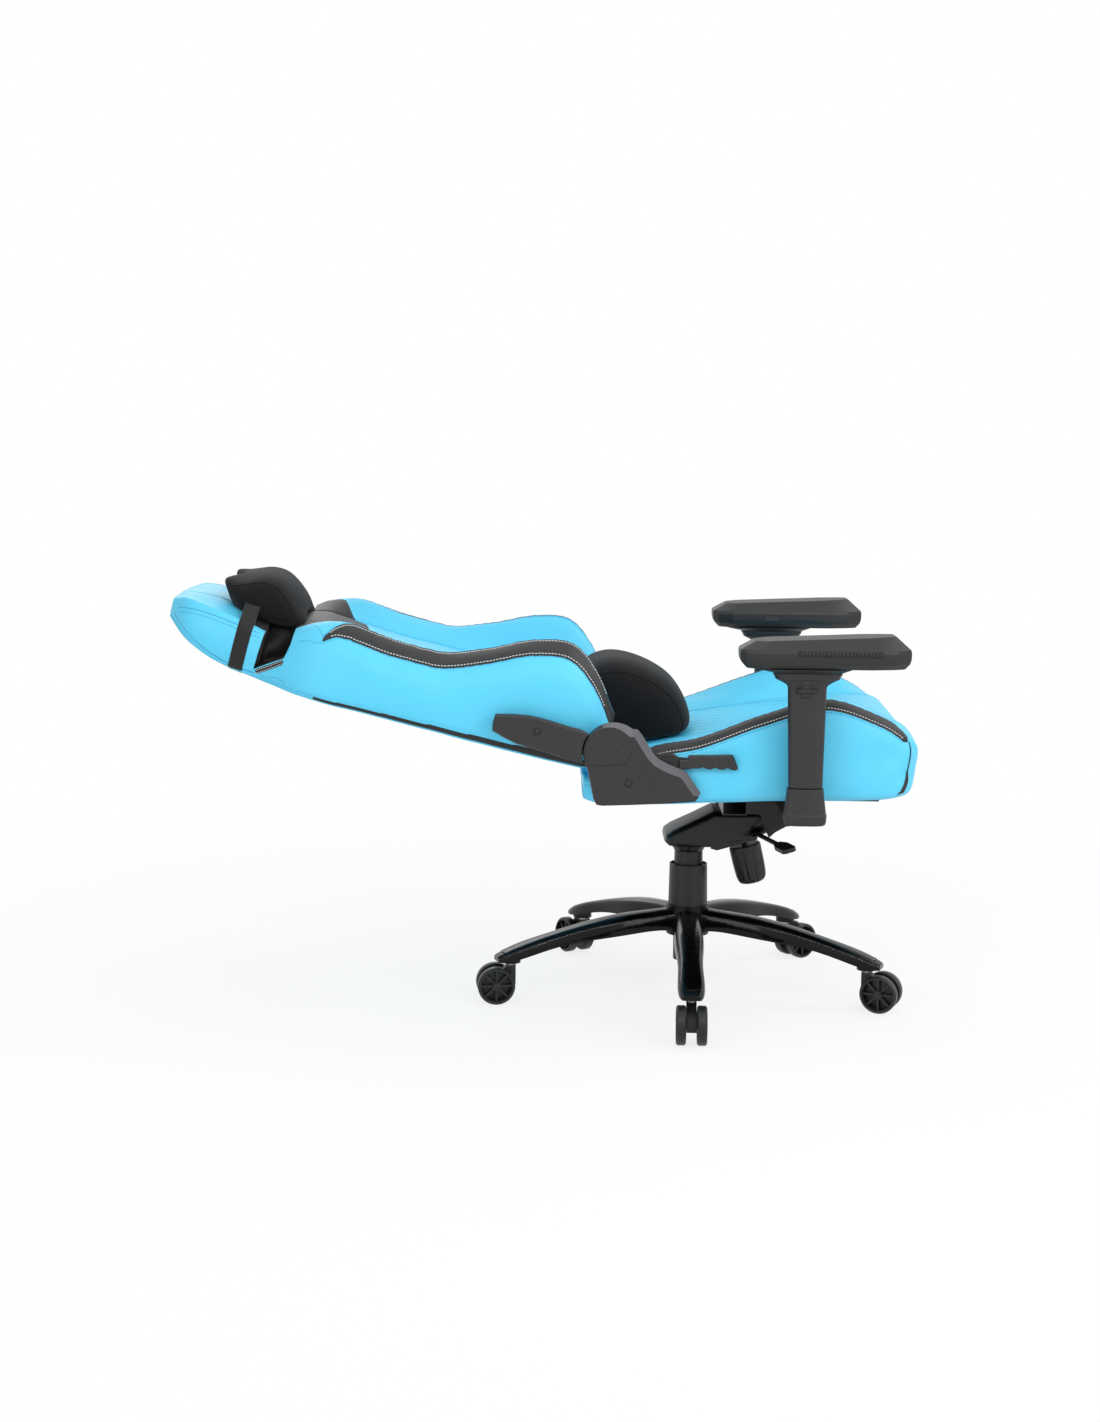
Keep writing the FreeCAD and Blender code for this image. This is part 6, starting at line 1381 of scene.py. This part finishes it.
for side_name, side in SIDES.items():
    socket = loft(f"socket_cup_{side_name}", [oval(z, long, deep, side) for z, long, deep in SOCKET],
                  grey_plastic, 0.3, 2)
    levels = SLEEVE + HEAD[1:]
    sleeve = loft(f"sleeve_{side_name}", [oval(z, long, deep, side, 3.0 + 1.5 * max(0, (z - 575) / 28))
                                          for z, long, deep in levels], grey_plastic, 0.3, 2)
    pad_rings = [pad_ring(side, *level) for level in PAD_LEVELS]
    pad = loft(f"soft_pad_{side_name}", pad_rings, pad_skin, 1.1, 4)
    # The black strip under the grip ribs shows between them as dark lines: painted shade of the grooves.
    strip = small_block(f"pad_grip_groove_shade_{side_name}", side, -283, -146, 633.6, 643.4, ARM_X + 44, ARM_X + 48.5,
                        black_plastic, 0.4)
    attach(strip, f"arm_pad_{side_name}")
    vertices, faces = [], []
    for number in range(RIB_COUNT):
        y, b = RIB_FIRST - number * RIB_PITCH, len(vertices)
        corners = [(y, RIB_LOW), (y - 3.0, RIB_LOW), (y - 7.0, RIB_HIGH), (y - 4.0, RIB_HIGH)]
        for depth in (-RIB_ROOT, RIB_RISE):
            vertices += side_ring(side * (ARM_X + RIB_FACE + depth), corners)
        faces += [(b + k, b + (k + 1) % 4, b + 4 + (k + 1) % 4, b + 4 + k) for k in range(4)]
        faces.append((b + 4, b + 5, b + 6, b + 7))
    grip = dress(piece(f"pad_grip_ribs_{side_name}", vertices, faces), grey_plastic)
    plate = loft(f"slide_plate_{side_name}", [oval(z, long, deep, side, 4.5, 48, shift)
                                              for z, long, deep, shift in PLATE], grey_plastic, 0.3, 2)
    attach(plate, f"cross_slide_{side_name}")
    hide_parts(f"cross_slide_{side_name}")
    bodies = {"socket": "seat", "sleeve": f"arm_sleeve_{side_name}", "pad": f"arm_pad_{side_name}"}
    face_x = ARM_X + 18.2
    window = small_block(f"height_button_tab_{side_name}", side, -171, -157, 586, 594.5, face_x - 6, face_x + 4.0,
                         grey_plastic, 1.4)
    bar = small_block(f"height_button_bar_{side_name}", side, -180, -149, 573, 578.5, face_x - 6, face_x + 4.4,
                      pad_skin, 2.2)
    foot = small_block(f"height_button_foot_{side_name}", side, -172, -157, 566, 570.5, face_x - 6, face_x + 2.4,
                       grey_plastic, 1.0)
    stem = small_block(f"height_button_stem_{side_name}", side, -169, -159, 570, 588, face_x - 6, face_x + 1.0,
                       grey_plastic, 0.5)
    # Near-black plates just behind the button parts are painted shade: they darken the recess round the button, where
    # shade falls.
    recess_shade_plates = [small_block(f"height_button_well_{number}_{side_name}", side, low_y, high_y, low_z, high_z,
                         face_x - 6, face_x + 0.7, black_plastic, 0.4)
             for number, (low_y, high_y, low_z, high_z) in enumerate(((-173, -155, 584, 596), (-182, -147, 571, 580.5),
                                                                      (-174, -155, 564, 572)))]
    for well in recess_shade_plates:
        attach(well, f"arm_sleeve_{side_name}")
    for each in (window, bar, foot, stem):
        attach(each, f"height_button_{side_name}")
    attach(socket, bodies["socket"])
    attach(sleeve, bodies["sleeve"])
    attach(pad, bodies["pad"])
    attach(grip, bodies["pad"])
    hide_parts(f"arm_socket_{side_name}")
    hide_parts(f"arm_sleeve_{side_name}")
    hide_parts(f"arm_pad_{side_name}")
    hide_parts(f"height_button_{side_name}")

# %% [markdown]
# Studio: a pale floor that runs off into white, soft lamps above and in front, two large ones on the camera's
# side and a weak one behind. Two narrow strip lamps draw the crisp lines that show gloss. The camera stands at the
# chair's right side, above the armrests, and looks down a little.

# %% Camera, floor and lamps
scene = bpy.context.scene
camera_data = bpy.data.cameras.new("portrait")
camera = bpy.data.objects.new("portrait", camera_data)
scene.collection.objects.link(camera)
camera.location = (-4.240, 0.2724, 1.0971)
camera.rotation_euler = (math.radians(90) - 0.0725, 0, math.radians(-90))
camera.rotation_euler.rotate_axis("Z", 0.0123)
camera_data.lens = 62.1
camera_data.sensor_width = 36
camera_data.shift_x = 0.0094
camera_data.shift_y = -0.12
scene.camera = camera
scene.view_settings.view_transform = "Standard"

floor_material = bpy.data.materials.new("matt_white_studio_floor")
floor_material.use_nodes = True
floor_tree = floor_material.node_tree
floor_shader = floor_tree.nodes["Principled BSDF"]
floor_shader.inputs["Base Color"].default_value = linear("#F4F4F4")
floor_shader.inputs["Roughness"].default_value = 0.9
glow = add_node(floor_tree, "ShaderNodeEmission", {"Color": (1, 1, 1, 1), "Strength": 1.0})
looks = add_node(floor_tree, "ShaderNodeLightPath")
direct = add_node(floor_tree, "ShaderNodeMath", {0: looks.outputs["Is Camera Ray"],
                                                 1: looks.outputs["Is Glossy Ray"]}, operation="MAXIMUM")
shown = add_node(floor_tree, "ShaderNodeMath", {0: direct.outputs[0],
                                                1: looks.outputs["Is Transmission Ray"]}, operation="MAXIMUM")
where = add_node(floor_tree, "ShaderNodeTexCoord")
far_off = add_node(floor_tree, "ShaderNodeVectorMath", {0: where.outputs["Object"]}, operation="LENGTH")
paler = add_node(floor_tree, "ShaderNodeMapRange", {"Value": far_off.outputs["Value"], "From Min": 0.7,
                                                    "From Max": 2.0, "To Min": 0.8, "To Max": 1.0})
share = add_node(floor_tree, "ShaderNodeMath", {0: shown.outputs[0], 1: paler.outputs["Result"]},
                 operation="MULTIPLY")
blend_floor = add_node(floor_tree, "ShaderNodeMixShader", {0: share.outputs[0], 1: floor_shader.outputs[0],
                                                           2: glow.outputs[0]})
floor_tree.links.new(blend_floor.outputs[0], floor_tree.nodes["Material Output"].inputs["Surface"])
floor = piece("studio_floor", [(-9, -9, 0), (9, -9, 0), (9, 9, 0), (-9, 9, 0)], [(0, 1, 2, 3)])
dress(floor, floor_material)

world = bpy.data.worlds.new("studio")
world.use_nodes = True
scene.world = world
sky = world.node_tree.nodes["Background"]
rays = add_node(world.node_tree, "ShaderNodeLightPath")
bounced = add_node(world.node_tree, "ShaderNodeMath", {0: rays.outputs["Is Transmission Ray"],
                                                        1: rays.outputs["Is Glossy Ray"]}, operation="MAXIMUM")
seen = add_node(world.node_tree, "ShaderNodeMath", {0: rays.outputs["Is Camera Ray"],
                                                     1: bounced.outputs[0]}, operation="MAXIMUM")
level = add_node(world.node_tree, "ShaderNodeMapRange", {"Value": seen.outputs[0], "To Min": 0.5, "To Max": 1.0})
sky.inputs["Color"].default_value = (1, 1, 1, 1)
world.node_tree.links.new(level.outputs["Result"], sky.inputs["Strength"])


def softbox(name, place, aim, width, height, power):
    """An area lamp that looks at a point."""
    lamp = bpy.data.lights.new(name, "AREA")
    lamp.shape, lamp.size, lamp.size_y, lamp.energy = "RECTANGLE", width, height, power
    holder = bpy.data.objects.new(name, lamp)
    scene.collection.objects.link(holder)
    holder.location = place
    holder.rotation_euler = (Vector(aim) - Vector(place)).to_track_quat("-Z", "Y").to_euler()


softbox("overhead_box", (-0.4, 0.2, 2.9), (0, 0.1, 0.4), 2.6, 2.6, 12)
softbox("front_top_box", (0.3, -2.0, 2.3), (0, 0.1, 0.45), 1.3, 1.3, 20)
softbox("front_side_box", (-2.9, -2.4, 1.5), (0, 0.1, 0.45), 1.3, 1.8, 24)
softbox("head_side_box", (-3.0, 2.3, 1.5), (0, 0.1, 0.45), 1.3, 1.8, 22)
softbox("back_side_box", (2.6, 1.2, 2.0), (0, 0.1, 0.5), 1.6, 1.6, 14)
softbox("gloss_strip", (-2.3, 0.1, 1.9), (0, 0.0, 0.2), 2.2, 0.035, 11)
softbox("gloss_strip_front", (-1.75, -1.35, 1.75), (0, 0.2, 0.15), 1.8, 0.025, 8)
print("camera lens", camera_data.lens, "shift", camera_data.shift_x, camera_data.shift_y)

# %% [markdown]
# Everything else keeps its CAD shape. Each node gets the finish its real part has.

# %% Finishes for the parts that keep their shape
FINISHES = {
    "star_base": lacquer, "lift_tube": black_plastic, "sleeve_lower": black_plastic,
    "sleeve_middle": black_plastic, "sleeve_upper": black_plastic, "lift_rod": zinc_steel,
    "lift_cylinder": powder_coat, "caster_stems": zinc_steel, "mechanism_housing": powder_coat,
    "tilt_pin": powder_coat, "tension_spring": oiled_steel, "tension_knob": black_plastic,
    "height_lever": powder_coat, "lock_lever": powder_coat, "seat_plate": powder_coat,
    "seat_bolts": zinc_steel, "seat_frame": powder_coat, "seat_webbing": webbing,
    "recliner_plates": powder_coat, "recliner_pins": powder_coat, "back_arm_plates": powder_coat,
    "recline_lever": black_plastic, "recline_lever_grip": grey_plastic, "back_frame": powder_coat,
    "back_webbing": webbing, "harness_bezels": black_plastic, "arm_brackets": powder_coat,
}
for side in SIDES:
    for name in ("recliner_cover", "back_arm_cover", "arm_socket", "arm_sleeve", "height_button", "cross_slide",
                 "turntable", "pad_button"):
        FINISHES[f"{name}_{side}"] = grey_plastic
    FINISHES[f"arm_pad_{side}"] = pad_skin
for number in ("one", "two", "three", "four", "five"):
    FINISHES[f"caster_fork_{number}"] = nylon
    FINISHES[f"caster_wheels_{number}"] = nylon
for name, node in frame["nodes"].items():
    if name in FINISHES:
        for number in range(max(1, len(node.data.materials))):
            if len(node.data.materials):
                node.data.materials[number] = FINISHES[name]
            else:
                node.data.materials.append(FINISHES[name])
print("without a finish:", sorted(set(frame["nodes"]) - set(FINISHES)))

# %% [markdown]
# Last, the scene is brought up to date. The dressed chair is meant to fill the same box as the construction, give or
# take the fabric.

# %% Bringing the scene up to date
bpy.context.view_layer.update()
